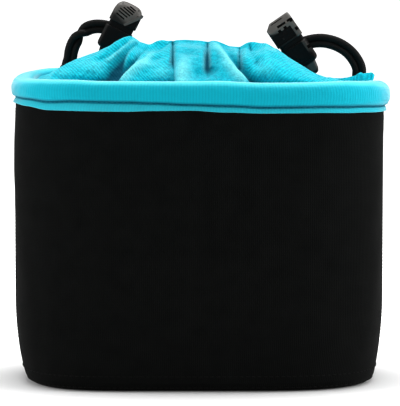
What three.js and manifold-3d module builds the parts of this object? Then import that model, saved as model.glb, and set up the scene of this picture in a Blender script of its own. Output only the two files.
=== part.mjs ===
// Neoprene camera pouch with a plush collar that two drawcords and two spring cord locks gather shut.
// Millimetres, +Z up, origin under the middle of the base, front towards -Y.
import * as THREE from 'three';
import { mergeVertices } from 'three/addons/utils/BufferGeometryUtils.js';
import Module from 'manifold-3d';

const wasm = await Module();
wasm.setup();

// Driving dimensions of the body
const BODY_WIDTH = 180;
const BODY_DEPTH = 112;
const BODY_SQUARENESS = 3;
const RIM_TOP = 148;
const NEOPRENE = 4;
const LINING = 1.5;
const FIT = 0.3;
const FOOT_RADIUS = 6;
const TAPER = 4.5;
const TAPER_HEIGHT = 40;
const FOOT_TOP = 12;
const BASE_THICKNESS = 4;
const RING_STEPS = 60;
const BASE_EDGE_SHARES = [0, 0.15, 0.4, 0.7, 1];

// Rim band, the strip under it and the threads
const BAND_HEIGHT = 11;
const BAND_BULGE = 2.3;
const BAND_ROOF = 2;
const BAND_INNER_LIMB = 2;
const BAND_ROUNDING = 1;
const BAND_FLAT = 5.2;
const STRIP_HEIGHT = 3;
const STRIP_THICKNESS = 1;
const THREAD = 0.7;
const BASE_STITCH_HEIGHT = 7.5;
const SIDE_SEAM_WIDTH = 5;
const SIDE_SEAM_THICKNESS = 0.6;

// Collar, mouth and casing
const COLLAR_CLOTH = 2.5;
const SKIRT_DEPTH = 8;
const COLLAR_STEPS = 36;
const COLLAR_STATIONS = [0, 0.08, 0.2, 0.36, 0.54, 0.72, 0.87, 1];
const MOUTH_CENTRE_X = 2.5;
const MOUTH_Y = 4;
const MOUTH_HALF_WIDTH = 36;
const MOUTH_HALF_DEPTH = 10;
const CASING_CLOTH = 1.5;
const CASING_CLEARANCE = 0.8;
const CASING_END_ANGLE = 27;
const CASING_STEPS = 20;

// Drawcord
const CORD_DIAMETER = 3;
const STRAND_GAP = 0.3;
const CORD_SIDES = 8;
const CORD_STEP = 4;
const KNOT_RADIUS = 3.6;
const KNOT_HEIGHT = 6.6;
const KNOT_SIDES = 14;

// Spring cord locks, each in its own frame: X along the cord, Y through the lock, Z towards the cap
const LOCK_HALF_WIDTH = 7.1;
const LOCK_HALF_THICKNESS = 6.2;
const LOCK_TOP = 15.4;
const LOCK_BOTTOM = -15.8;
const LOCK_CORNER = 2.6;
const LOCK_CORNER_SHARE = 0.6;
const PRESS_TRAVEL = 2.5;
const SLEEVE_WALL = 1.2;
const CAVITY_HALF_WIDTH = 4.4;
const CAVITY_HALF_THICKNESS = 3.5;
const CAVITY_FLOOR = -10.6;
const CORD_SIDE_CLEARANCE = 0.7;
const SLOT_EASE = 0.4;
const STEM_FLOOR_WALL = 1.3;
const TIP = { halfWidth: 2, halfThickness: 1.9 };
const TIP_ROUNDING = 1;
const NECK = { halfWidth: 3.8, halfThickness: 3.2 };
const TRUNK_ROUNDING = 1.6;
const LIP_HEIGHT = 1.1;
const LIP_PROUD = 0.5;
const LIP_ABOVE_CORD = 1;
const CAP_TAPER = 0.4;
const DOME_HEIGHT = 5;
const DOME_INSETS = [[1, 0], [0.48, 0.18], [0.16, 0.5], [0, 0.92]];
const GROOVE_COUNT = 5;
const GROOVE_PITCH = 1.5;
const GROOVE_WIDTH = 0.6;
const GROOVE_DEPTH = 0.5;
const GROOVE_MARGIN = 2.6;
const GROOVES_ABOVE_LIP = 1.3;
const NOTCH_COUNT = 2;
const NOTCH_PITCH = 4.4;
const NOTCH_SIZE = 2;
const NOTCH_DEPTH = 0.9;
const NOTCH_BELOW_TOP = 2.4;
const SPRING_WIRE = 0.4;
const SPRING_CLEARANCE = 0.9;
const SPRING_TURNS = 3;
const SPRING_TURN_STEPS = 10;
const SPRING_SIDES = 6;
// How far a cutting or joining solid runs past the faces that it cuts or joins
const REACH = 1;

// Each lock sits on an arc of its two cord strands, in the plane y = MOUTH_Y.
// Heights here and in the lists below are above the rim's top.
const LOCKS = {
  left: { centreX: -49.7, centreZ: 7.9, radius: 16, tilt: 27 },
  right: { centreX: 58.6, centreZ: -4.2, radius: 21.15, tilt: -34.5 },
};

// Free ends of the drawcords, from the casing's end through the lock to the knot
const TAIL_POINTS = {
  left_front_tail: [
    [-29.9, -0.4, 13.6], [-32.4, 0.9, 12.6], [-34.9, 2.7, 12.2], [-36.7, 3.9, 14], [-38.2, 4, 16.5],
    [-40.5, 4, 18.9], [-43.2, 4, 20.7], [-46.2, 4, 21.8], [-49.7, 4, 22.25], [-52.7, 4, 21.9],
    [-55.2, 3.5, 20.9], [-56.9, 2.5, 20.7], [-58.7, 2.1, 20.4], [-60.5, 2.6, 19.6], [-62, 3.7, 18.2],
    [-63.5, 4, 15.5], [-64.6, 4, 11.9], [-65.1, 4, 8.4], [-65.9, 4, 5.8],
  ],
  left_back_tail: [
    [-30, 8.4, 12.7], [-32.2, 7.2, 12.9], [-33.5, 5.4, 14.3], [-34.6, 4.1, 17], [-37, 4, 20.2],
    [-41.7, 4, 23.6], [-45.4, 4, 25], [-49.7, 4, 25.55], [-53.4, 4, 25.15],
    [-56.3, 4.5, 23.9], [-57.7, 5.4, 22.3], [-58.6, 5.9, 20.5], [-59, 5.7, 18.3], [-59.4, 4.6, 16.2],
    [-60.5, 4, 14], [-61.5, 4, 10.8], [-62.1, 4, 7.4], [-63.5, 4, 3.6],
  ],
  right_front_tail: [
    [35.1, -0.3, 10.2], [37.3, 0.9, 9.1], [39.6, 2.6, 7], [41.8, 3.9, 6.8], [44.3, 4, 9.1],
    [47.55, 4, 11.9], [51.3, 4, 13.9], [55.2, 4, 15], [59.3, 4, 15.3], [63.3, 4, 14.7],
    [67.1, 4, 13.3], [70.6, 4, 11.2], [73.3, 4, 8.5], [75.4, 4, 5.2], [76.3, 4, 2.5], [76.2, 4, 0.1],
  ],
  right_back_tail: [
    [35, 8.4, 9.4], [37.2, 7.1, 9.1], [38.9, 5.3, 9.2], [40.6, 4.1, 10], [42.6, 4, 12],
    [45.7, 4, 14.6], [50.1, 4, 16.9], [54.6, 4, 18.2], [59.4, 4, 18.6], [64.1, 4, 17.9],
    [68.6, 4, 16.3], [72.6, 4, 13.8], [76, 4, 10.5], [78.5, 4, 6.6], [79.6, 4, 3.2], [79.5, 4, 0.1],
  ],
};
const KNOTS = {
  left: { x: -66.9, z: 1.5, lean: 38.7 },
  right: { x: 77.6, z: -3.6, lean: 0 },
};

// Heights round the collar above the rim's top, by the angle in degrees from the left side over the front
const ROOT_HEIGHTS = [[0, -4], [20, -2], [158, -2], [170, -6.5], [180, -8.5]];
const SWELL_HEIGHTS = [
  [0, -6], [12, -1], [21, 10], [30, 19], [45, 21], [60, 19], [90, 18],
  [105, 17], [120, 15], [135, 10], [150, 2], [160, -2], [170, -6], [180, -7],
];
const CASING_HEIGHTS = [
  [0, 9], [24, 13.6], [34, 13.9], [44, 15.9], [56, 12.2], [70, 13.6], [90, 13.4],
  [105, 13], [120, 11.2], [134, 13.2], [146, 10.6], [156, 10.3], [180, 1],
];
const EDGE_DROP_AT_SIDES = 3;
const BACK_DROP = 2;

// Creases of the gathered cloth: angle, half width and depth
const CREASES = [
  { angle: 38, halfWidth: 3.5, depth: 1.6 },
  { angle: 56, halfWidth: 4, depth: 2.2 },
  { angle: 72, halfWidth: 3, depth: 1.8 },
  { angle: 91, halfWidth: 3, depth: 2.2 },
  { angle: 107, halfWidth: 3.5, depth: 1.8 },
  { angle: 124, halfWidth: 4, depth: 2.2 },
];

// Offsets from the body's outer face, inwards
const WALL_INNER = NEOPRENE;
const LINING_OUTER = WALL_INNER + FIT;
const LINING_INNER = LINING_OUTER + LINING;
const LIMB_OUTER = LINING_INNER + FIT;
const LIMB_INNER = LIMB_OUTER + BAND_INNER_LIMB;
const COLLAR_OUTER = LIMB_INNER + FIT;

// Fits round the cord
const CASING_BORE = CORD_DIAMETER / 2 + CASING_CLEARANCE;
const CASING_RADIUS = CASING_BORE + CASING_CLOTH;
const SLOT_WIDTH = CORD_DIAMETER + 2 * CORD_SIDE_CLEARANCE;

// Heights of the construction
const BAND_BOTTOM = RIM_TOP - BAND_HEIGHT;
const WALL_TOP = RIM_TOP - BAND_ROOF - FIT;
const THREAD_RUN = THREAD + FIT + FIT / 2;
const STRIP_TOP = BAND_BOTTOM - THREAD_RUN;
const SEAM_HEIGHT = BASE_THICKNESS + FIT;
const LINING_FLOOR_TOP = SEAM_HEIGHT + LINING;

const PLUSH = { color: 0x18c4d6, roughness: 0.95, metalness: 0 };
const KNIT = { color: 0x0cafc4, roughness: 0.9, metalness: 0 };
const RUBBER_CLOTH = { color: 0x151615, roughness: 0.92, metalness: 0 };
const BLACK_CORD = { color: 0x0a0a0a, roughness: 0.85, metalness: 0 };
const LOCK_PLASTIC = { color: 0x24211e, roughness: 0.5, metalness: 0 };
const SPRING_STEEL = { color: 0xb8bcc0, roughness: 0.3, metalness: 1 };
const TURQUOISE_THREAD = { color: 0x0a8ea2, roughness: 0.8, metalness: 0 };
const BLACK_THREAD = { color: 0x1c1c1c, roughness: 0.8, metalness: 0 };

const radians = THREE.MathUtils.degToRad;

function signedPower(value, power) {
  return Math.sign(value) * Math.abs(value) ** power;
}

// A point of the body's plan, at an inward offset from its outer face
function planPoint(turn, offset) {
  const power = 2 / BODY_SQUARENESS;
  return [
    (BODY_WIDTH / 2 - offset) * signedPower(Math.cos(turn), power),
    (BODY_DEPTH / 2 - offset) * signedPower(Math.sin(turn), power),
  ];
}

// How far the outer face draws in towards the foot
function footInset(z) {
  const below = Math.max(0, FOOT_RADIUS - z);
  const arc = FOOT_RADIUS - Math.sqrt(FOOT_RADIUS ** 2 - below ** 2);
  const above = Math.max(0, 1 - z / TAPER_HEIGHT);
  return arc + TAPER * above ** 2;
}

// A value between the knots of a list of [angle, value], eased so that it has no corners
function eased(knots, angle) {
  const last = knots.findIndex((knot) => knot[0] >= angle);
  if (last <= 0) return knots[0][1];
  const [from, low] = knots[last - 1];
  const [to, high] = knots[last];
  return low + (high - low) * THREE.MathUtils.smoothstep(angle, from, to);
}

function signedVolume(position, index) {
  const a = new THREE.Vector3();
  const b = new THREE.Vector3();
  const c = new THREE.Vector3();
  let volume = 0;
  for (let i = 0; i < index.length; i += 3) {
    a.fromBufferAttribute(position, index[i]);
    b.fromBufferAttribute(position, index[i + 1]);
    c.fromBufferAttribute(position, index[i + 2]);
    volume += a.dot(b.cross(c));
  }
  return volume;
}

function bodyGeometry(points, index) {
  const geometry = new THREE.BufferGeometry();
  const position = new THREE.Float32BufferAttribute(points.flat(), 3);
  const outward = signedVolume(position, index) > 0 ? index : index.slice().reverse();
  geometry.setAttribute('position', position);
  geometry.setIndex(outward);
  geometry.computeVertexNormals();
  return geometry;
}

// A closed body through sections of equal point counts. A loop closes on itself, and others are capped.
function loftBody(sections, { loop = false, capAxes = [0, 2] } = {}) {
  const count = sections[0].length;
  const index = [];
  const spans = loop ? sections.length : sections.length - 1;
  for (let i = 0; i < spans; i += 1) {
    const here = i * count;
    const next = ((i + 1) % sections.length) * count;
    for (let j = 0; j < count; j += 1) {
      const k = (j + 1) % count;
      index.push(here + j, next + j, next + k, here + j, next + k, here + k);
    }
  }
  if (!loop) {
    const flat = sections[0].map((p) => new THREE.Vector2(p[capAxes[0]], p[capAxes[1]]));
    const turned = THREE.ShapeUtils.isClockWise(flat);
    const last = (sections.length - 1) * count;
    for (const [a, b, c] of capTriangles(flat, turned)) {
      index.push(a, b, c);
    }
    const flatEnd = sections.at(-1).map((p) => new THREE.Vector2(p[capAxes[0]], p[capAxes[1]]));
    const turnedEnd = THREE.ShapeUtils.isClockWise(flatEnd);
    for (const [a, b, c] of capTriangles(flatEnd, turnedEnd)) {
      index.push(last + a, last + c, last + b);
    }
  }
  return bodyGeometry(sections.flat(), index);
}

// Triangles of a section's end, wound with the section's own point order
function capTriangles(flat, turned) {
  const order = flat.map((_, i) => i);
  if (turned) order.reverse();
  const triangles = THREE.ShapeUtils.triangulateShape(order.map((i) => flat[i]), []);
  return triangles.map(([a, b, c]) => {
    const mapped = [order[a], order[b], order[c]];
    return turned ? [mapped[0], mapped[2], mapped[1]] : mapped;
  });
}

// A profile of [offset, z] points carried round the body's plan
function planSweep(profile, fromDegrees, toDegrees, shiftY = 0) {
  const loop = toDegrees - fromDegrees >= 360;
  const steps = Math.max(2, Math.round((RING_STEPS * (toDegrees - fromDegrees)) / 360));
  const sections = [];
  for (let i = 0; i < (loop ? steps : steps + 1); i += 1) {
    const turn = radians(fromDegrees + ((toDegrees - fromDegrees) * i) / steps);
    sections.push(profile.map(([offset, z]) => {
      const [x, y] = planPoint(turn, offset);
      return [x, y + shiftY, z];
    }));
  }
  return loftBody(sections, { loop });
}

// A filled panel of the body's plan, as layers of [offset, z]
function planStack(layers) {
  const points = [];
  const index = [];
  for (const [offset, z] of layers) {
    for (let i = 0; i < RING_STEPS; i += 1) {
      points.push([...planPoint((2 * Math.PI * i) / RING_STEPS, offset), z]);
    }
  }
  for (let layer = 0; layer < layers.length - 1; layer += 1) {
    for (let i = 0; i < RING_STEPS; i += 1) {
      const a = layer * RING_STEPS + i;
      const b = layer * RING_STEPS + ((i + 1) % RING_STEPS);
      index.push(a, b, b + RING_STEPS, a, b + RING_STEPS, a + RING_STEPS);
    }
  }
  const low = points.push([0, 0, layers[0][1]]) - 1;
  const high = points.push([0, 0, layers.at(-1)[1]]) - 1;
  const top = (layers.length - 1) * RING_STEPS;
  for (let i = 0; i < RING_STEPS; i += 1) {
    const j = (i + 1) % RING_STEPS;
    index.push(low, j, i, high, top + i, top + j);
  }
  return bodyGeometry(points, index);
}

function roundSection(radius, sides) {
  const shape = new THREE.Shape();
  for (let i = 0; i < sides; i += 1) {
    const turn = (2 * Math.PI * i) / sides;
    const corner = [radius * Math.cos(turn), radius * Math.sin(turn)];
    if (i === 0) shape.moveTo(...corner);
    else shape.lineTo(...corner);
  }
  shape.closePath();
  return shape;
}

function smoothPath(points) {
  return new THREE.CatmullRomCurve3(points.map((p) => new THREE.Vector3(...p)));
}

function cordAlong(points, diameter, sides, spacing) {
  const path = smoothPath(points);
  const steps = Math.max(6, Math.round(path.getLength() / spacing));
  const options = { steps, bevelEnabled: false, extrudePath: path };
  return new THREE.ExtrudeGeometry(roundSection(diameter / 2, sides), options);
}

// Solids for boolean work
function solidOf(geometry) {
  const bare = geometry.clone();
  bare.deleteAttribute('normal');
  bare.deleteAttribute('uv');
  const merged = mergeVertices(bare, 1e-5);
  const mesh = new wasm.Mesh({
    numProp: 3,
    vertProperties: new Float32Array(merged.getAttribute('position').array),
    triVerts: new Uint32Array(merged.getIndex().array),
  });
  return new wasm.Manifold(mesh);
}

function geometryOf(solid) {
  const mesh = solid.getMesh();
  const geometry = new THREE.BufferGeometry();
  geometry.setAttribute('position', new THREE.BufferAttribute(new Float32Array(mesh.vertProperties), 3));
  geometry.setIndex(new THREE.BufferAttribute(new Uint32Array(mesh.triVerts), 1));
  geometry.computeVertexNormals();
  return geometry;
}

// A box between two corners
function boxSolid(low, high) {
  const size = high.map((value, axis) => value - low[axis]);
  const geometry = new THREE.BoxGeometry(...size);
  geometry.translate(...high.map((value, axis) => (value + low[axis]) / 2));
  return solidOf(geometry);
}

const group = new THREE.Group();

function addPiece(parent, name, geometry, finish) {
  const mesh = new THREE.Mesh(geometry, new THREE.MeshStandardMaterial(finish));
  mesh.name = name;
  parent.add(mesh);
  return mesh;
}

// Heights at which a wall's section bends, from its lower edge up to the rim
function wallHeights(lowest) {
  const thirds = [0, 1, 2, 3].map((third) => lowest + ((FOOT_TOP - lowest) * third) / 3);
  return [...thirds, (FOOT_TOP + TAPER_HEIGHT) / 2, TAPER_HEIGHT, WALL_TOP];
}

const LINING_HEIGHTS = wallHeights(LINING_FLOOR_TOP + FIT);

function atHeights(heights, offset) {
  return heights.map((z) => [footInset(z) + offset, z]);
}

// The two neoprene wall panels, sewn to each other at the sides
function addWalls() {
  const outer = atHeights(wallHeights(SEAM_HEIGHT), 0);
  const inner = atHeights([SEAM_HEIGHT, ...LINING_HEIGHTS], WALL_INNER).reverse();
  const profile = [...outer, ...inner];
  addPiece(group, 'outer_front', planSweep(profile, 180, 360, -FIT / 2), RUBBER_CLOTH);
  addPiece(group, 'outer_back', planSweep(profile, 0, 180, FIT / 2), RUBBER_CLOTH);
}

// The base panel lies under the wall's lower edge
function addBase() {
  const heights = BASE_EDGE_SHARES.map((share) => share * BASE_THICKNESS);
  addPiece(group, 'outer_base', planStack(atHeights(heights, 0)), RUBBER_CLOTH);
}

// Plush lining of the walls and the floor
function addLining() {
  const outer = atHeights(LINING_HEIGHTS, LINING_OUTER);
  const inner = atHeights(LINING_HEIGHTS, LINING_INNER).reverse();
  const profile = [...outer, ...inner];
  addPiece(group, 'lining_front', planSweep(profile, 180, 360, -FIT / 2), PLUSH);
  addPiece(group, 'lining_back', planSweep(profile, 0, 180, FIT / 2), PLUSH);
  const floor = atHeights([SEAM_HEIGHT, LINING_FLOOR_TOP], LINING_OUTER);
  addPiece(group, 'lining_base', planStack(floor), PLUSH);
}

// The knit band folded over the top edges of wall and lining
function addRimBand() {
  const middle = (RIM_TOP + BAND_BOTTOM) / 2;
  const highest = middle + BAND_FLAT / 2;
  const lowest = middle - BAND_FLAT / 2;
  const roof = WALL_TOP + FIT;
  const profile = [
    [-FIT, BAND_BOTTOM],
    [-BAND_BULGE * 0.7, BAND_BOTTOM + BAND_ROUNDING],
    [-BAND_BULGE, lowest],
    [-BAND_BULGE, highest],
    [-BAND_BULGE * 0.6, RIM_TOP - BAND_ROUNDING],
    [BAND_ROUNDING / 2, RIM_TOP],
    [LIMB_OUTER, RIM_TOP],
    [LIMB_INNER - BAND_ROUNDING / 2, RIM_TOP - BAND_ROUNDING],
    [LIMB_INNER, highest],
    [LIMB_INNER, BAND_BOTTOM + BAND_ROUNDING],
    [LIMB_INNER - BAND_ROUNDING / 2, BAND_BOTTOM],
    [LIMB_OUTER, BAND_BOTTOM],
    [LIMB_OUTER, roof],
    [-FIT, roof],
  ];
  addPiece(group, 'rim_band', planSweep(profile, 0, 360), KNIT);
}

// The flat strip below the band, and the thread that runs in the groove between them
function addRimStrip() {
  const bottom = STRIP_TOP - STRIP_HEIGHT;
  const round = STRIP_THICKNESS * 0.35;
  const face = -FIT - STRIP_THICKNESS;
  const profile = [
    [-FIT, bottom],
    [face + round, bottom],
    [face, bottom + round],
    [face, STRIP_TOP - round],
    [face + round, STRIP_TOP],
    [-FIT, STRIP_TOP],
  ];
  addPiece(group, 'rim_strip', planSweep(profile, 0, 360), KNIT);
  const groove = (STRIP_TOP + BAND_BOTTOM) / 2;
  addPiece(group, 'rim_stitching', planSweep(threadProfile(groove, 0), 0, 360), TURQUOISE_THREAD);
}

// A thread lying on the outer face at a height
function threadProfile(z, inset) {
  const radius = THREAD / 2;
  const centre = inset - FIT - radius;
  return [0, 1, 2, 3].map((corner) => {
    const turn = (corner * Math.PI) / 2;
    return [centre + radius * Math.cos(turn), z + radius * Math.sin(turn)];
  });
}

function addBaseStitching() {
  const profile = threadProfile(BASE_STITCH_HEIGHT, footInset(BASE_STITCH_HEIGHT - THREAD / 2));
  addPiece(group, 'base_stitching', planSweep(profile, 0, 360), BLACK_THREAD);
}

// The flat stitched strip over each side seam
function addSideSeams() {
  const halfTurn = Math.asin((SIDE_SEAM_WIDTH / BODY_DEPTH) ** (BODY_SQUARENESS / 2));
  const halfDegrees = THREE.MathUtils.radToDeg(halfTurn);
  const bottom = BASE_STITCH_HEIGHT + THREAD;
  const top = STRIP_TOP - STRIP_HEIGHT - FIT;
  const heights = [bottom, FOOT_TOP, (FOOT_TOP + TAPER_HEIGHT) / 2, TAPER_HEIGHT, top];
  const inner = atHeights(heights, -FIT);
  const outer = atHeights(heights, -FIT - SIDE_SEAM_THICKNESS).reverse();
  const profile = [...inner, ...outer];
  for (const [side, middle] of [['left', 180], ['right', 0]]) {
    const strip = planSweep(profile, middle - halfDegrees, middle + halfDegrees);
    addPiece(group, `${side}_side_seam`, strip, BLACK_THREAD);
  }
}

// The mouth: a casing point and its outward normal in plan, by angle from the left side
function mouthPoint(degrees, side) {
  const turn = radians(degrees);
  const along = -Math.cos(turn);
  const across = side * Math.sin(turn);
  const x = MOUTH_CENTRE_X + MOUTH_HALF_WIDTH * along;
  const y = MOUTH_Y + MOUTH_HALF_DEPTH * across;
  const normal = new THREE.Vector2(MOUTH_HALF_DEPTH * along, MOUTH_HALF_WIDTH * across);
  const drop = side > 0 ? BACK_DROP * across : 0;
  return { x, y, z: RIM_TOP + eased(CASING_HEIGHTS, degrees) - drop, normal: normal.normalize() };
}

function creaseDepth(degrees) {
  return CREASES.reduce((sum, { angle, halfWidth, depth }) => {
    return sum + depth * Math.exp(-(((degrees - angle) / halfWidth) ** 2));
  }, 0);
}

// One section of the collar's cloth: up the outer face from the skirt to the casing, and back inside
function collarSection(degrees, side) {
  const turn = radians(180 - side * degrees);
  const [rootX, rootY] = planPoint(turn, COLLAR_OUTER);
  const mouth = mouthPoint(degrees, side);
  const clear = CASING_RADIUS + FIT;
  const endX = mouth.x + mouth.normal.x * clear;
  const endY = mouth.y + mouth.normal.y * clear;
  const atSides = 1 - THREE.MathUtils.smoothstep(Math.sin(radians(degrees)), 0.1, 0.3);
  const drop = side > 0 ? BACK_DROP * Math.sin(radians(degrees)) : 0;
  const rootZ = RIM_TOP + eased(ROOT_HEIGHTS, degrees);
  const swellZ = RIM_TOP + eased(SWELL_HEIGHTS, degrees) - drop;
  const endZ = mouth.z + COLLAR_CLOTH / 2 - EDGE_DROP_AT_SIDES * atSides;
  const skirtZ = rootZ - SKIRT_DEPTH;
  const run = Math.hypot(endX - rootX, endY - rootY);
  const inward = [(endX - rootX) / run, (endY - rootY) / run];
  const outer = [];
  const inner = [];
  for (const s of COLLAR_STATIONS) {
    const crease = creaseDepth(degrees) * Math.sin(Math.PI * Math.min(1, 0.12 + s * 0.88)) ** 0.5;
    const z = (1 - s) ** 2 * rootZ + 2 * s * (1 - s) * swellZ + s ** 2 * endZ - crease;
    const slope = (2 * (1 - s) * (swellZ - rootZ) + 2 * s * (endZ - swellZ)) / run;
    const steep = Math.atan(slope);
    const rising = Math.sin(steep);
    const back = COLLAR_CLOTH * (Math.max(0, rising) * (1 - s) + (1 - s) ** 6 * (1 - rising));
    const down = COLLAR_CLOTH * Math.cos(steep);
    outer.push([rootX + inward[0] * run * s, rootY + inward[1] * run * s, z]);
    inner.push([
      rootX + inward[0] * (run * s + back),
      rootY + inward[1] * (run * s + back),
      z - down,
    ]);
  }
  const skirtOuter = [rootX, rootY, skirtZ];
  const skirtInner = [inner[0][0], inner[0][1], skirtZ];
  return [skirtOuter, ...outer, ...inner.reverse(), skirtInner];
}

function addCollar() {
  for (const [name, side] of [['collar_front', -1], ['collar_back', 1]]) {
    const sections = [];
    for (let i = 0; i <= COLLAR_STEPS; i += 1) {
      const degrees = (180 * i) / COLLAR_STEPS;
      sections.push(collarSection(degrees, side).map(([x, y, z]) => [x, y + (side * FIT) / 2, z]));
    }
    addPiece(group, name, loftBody(sections), PLUSH);
  }
}

// The tubular casing at the mouth and the stretch of drawcord inside it
function casingPoints(side) {
  const points = [];
  for (let i = 0; i <= CASING_STEPS; i += 1) {
    const degrees = CASING_END_ANGLE + ((180 - 2 * CASING_END_ANGLE) * i) / CASING_STEPS;
    const { x, y, z } = mouthPoint(degrees, side);
    points.push([x, y, z]);
  }
  return points;
}

function addCasings() {
  for (const [name, side] of [['front', -1], ['back', 1]]) {
    const points = casingPoints(side);
    const shape = roundSection(CASING_RADIUS, CORD_SIDES);
    shape.holes.push(roundSection(CASING_BORE, CORD_SIDES));
    const cord = roundSection(CORD_DIAMETER / 2, CORD_SIDES);
    const options = { steps: CASING_STEPS, bevelEnabled: false, extrudePath: smoothPath(points) };
    addPiece(group, `${name}_casing`, new THREE.ExtrudeGeometry(shape, options), PLUSH);
    addPiece(group, `${name}_drawcord`, new THREE.ExtrudeGeometry(cord, options), BLACK_CORD);
  }
}

function addTails() {
  for (const [name, points] of Object.entries(TAIL_POINTS)) {
    const tail = addPiece(group, name, cordAlong(points, CORD_DIAMETER, CORD_SIDES, CORD_STEP), BLACK_CORD);
    tail.position.z = RIM_TOP;
  }
}

// Each knot's outline as shares of its radius and half height
const KNOT_OUTLINE = [[0, -1], [0.6, -1], [0.9, -0.6], [1, 0], [0.9, 0.6], [0.85, 1], [0, 1]];

function addKnots() {
  const outline = KNOT_OUTLINE.map(([r, h]) => new THREE.Vector2(r * KNOT_RADIUS, (h * KNOT_HEIGHT) / 2));
  for (const [side, { x, z, lean }] of Object.entries(KNOTS)) {
    const geometry = new THREE.LatheGeometry(outline, KNOT_SIDES);
    geometry.rotateX(Math.PI / 2);
    const knot = addPiece(group, `${side}_cord_knot`, geometry, BLACK_CORD);
    knot.position.set(x, MOUTH_Y, RIM_TOP + z);
    knot.rotation.y = radians(lean);
  }
}

// A solid through rounded rectangles of [z, half width, half thickness], in a lock's frame
function lockSolid(layers) {
  const sections = layers.map(([z, halfWidth, halfThickness]) => {
    const corner = Math.min(LOCK_CORNER, halfThickness * LOCK_CORNER_SHARE, halfWidth * LOCK_CORNER_SHARE);
    const section = [];
    for (let quarter = 0; quarter < 4; quarter += 1) {
      const signX = quarter === 0 || quarter === 3 ? 1 : -1;
      const signY = quarter < 2 ? 1 : -1;
      for (let i = 0; i <= 3; i += 1) {
        const turn = ((quarter + i / 3) * Math.PI) / 2;
        section.push([
          signX * (halfWidth - corner) + corner * Math.cos(turn),
          signY * (halfThickness - corner) + corner * Math.sin(turn),
          z,
        ]);
      }
    }
    return section;
  });
  return solidOf(loftBody(sections, { capAxes: [0, 1] }));
}

// Heights inside a lock that follow from the two strands, the arc they lie on and the travel
const STRAND_OFFSET = (CORD_DIAMETER + STRAND_GAP) / 2;
const STACK_TOP = STRAND_OFFSET + CORD_DIAMETER / 2 + FIT;

function arcDrop(radius, halfLength) {
  const inner = radius - STRAND_OFFSET;
  return inner - Math.sqrt(inner ** 2 - halfLength ** 2);
}

const TIGHTEST_ARC = Math.min(LOCKS.left.radius, LOCKS.right.radius);
const BARREL_SLOT_FLOOR = -STACK_TOP - arcDrop(TIGHTEST_ARC, LOCK_HALF_WIDTH) - SLOT_EASE;
const STEM_SLOT_FLOOR = -STACK_TOP - arcDrop(TIGHTEST_ARC, CAVITY_HALF_WIDTH);
const BARREL_TOP = STACK_TOP + SLEEVE_WALL;
const HOOD_LIP = STACK_TOP + LIP_ABOVE_CORD;
const SHOULDER = HOOD_LIP - PRESS_TRAVEL - FIT;
const STEM_BOTTOM = STEM_SLOT_FLOOR - STEM_FLOOR_WALL;
const HOOD_CEILING = BARREL_TOP + PRESS_TRAVEL + FIT;
const SLEEVE_HALF_WIDTH = CAVITY_HALF_WIDTH + SLEEVE_WALL;
const SLEEVE_HALF_THICKNESS = CAVITY_HALF_THICKNESS + SLEEVE_WALL;

// The barrel that the cord passes through, with the sleeve that guides the plunger
function barrelGeometry() {
  const sleeve = lockSolid([
    [SHOULDER - REACH, SLEEVE_HALF_WIDTH, SLEEVE_HALF_THICKNESS],
    [BARREL_TOP, SLEEVE_HALF_WIDTH, SLEEVE_HALF_THICKNESS],
  ]);
  const floor = CAVITY_FLOOR - SLEEVE_WALL;
  const trunk = lockSolid([
    [LOCK_BOTTOM, TIP.halfWidth, TIP.halfThickness],
    [LOCK_BOTTOM + TIP_ROUNDING, TIP.halfWidth + TIP_ROUNDING, TIP.halfThickness + TIP_ROUNDING / 2],
    [floor - TIP_ROUNDING, NECK.halfWidth, NECK.halfThickness],
    [floor, LOCK_HALF_WIDTH - SLEEVE_WALL, LOCK_HALF_THICKNESS - SLEEVE_WALL],
    [CAVITY_FLOOR + TRUNK_ROUNDING, LOCK_HALF_WIDTH, LOCK_HALF_THICKNESS],
    [SHOULDER, LOCK_HALF_WIDTH, LOCK_HALF_THICKNESS],
  ]);
  const cavity = boxSolid(
    [-CAVITY_HALF_WIDTH, -CAVITY_HALF_THICKNESS, CAVITY_FLOOR],
    [CAVITY_HALF_WIDTH, CAVITY_HALF_THICKNESS, BARREL_TOP + REACH],
  );
  const slot = boxSolid(
    [-LOCK_HALF_WIDTH - REACH, -SLOT_WIDTH / 2, BARREL_SLOT_FLOOR],
    [LOCK_HALF_WIDTH + REACH, SLOT_WIDTH / 2, STACK_TOP],
  );
  return geometryOf(sleeve.add(trunk).subtract(cavity).subtract(slot));
}

// The cap's outside: a proud lip, straight sides that draw in a little, and a dome
function hoodSolid() {
  const domeFoot = LOCK_TOP - DOME_HEIGHT;
  const lipTop = HOOD_LIP + LIP_HEIGHT;
  const widest = [LOCK_HALF_WIDTH - CAP_TAPER / 2, LOCK_HALF_THICKNESS - CAP_TAPER / 2];
  const lip = widest.map((half) => half + LIP_PROUD);
  const dome = DOME_INSETS.map(([below, inset]) => [
    LOCK_TOP - DOME_HEIGHT * below,
    LOCK_HALF_WIDTH - CAP_TAPER - inset * LOCK_HALF_THICKNESS * 0.8,
    LOCK_HALF_THICKNESS - CAP_TAPER - inset * LOCK_HALF_THICKNESS * 0.7,
  ]);
  return lockSolid([
    [HOOD_LIP, ...lip],
    [lipTop, ...lip],
    [Math.min(lipTop + LIP_PROUD, domeFoot - LIP_PROUD), ...widest],
    ...dome,
  ]);
}

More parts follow.
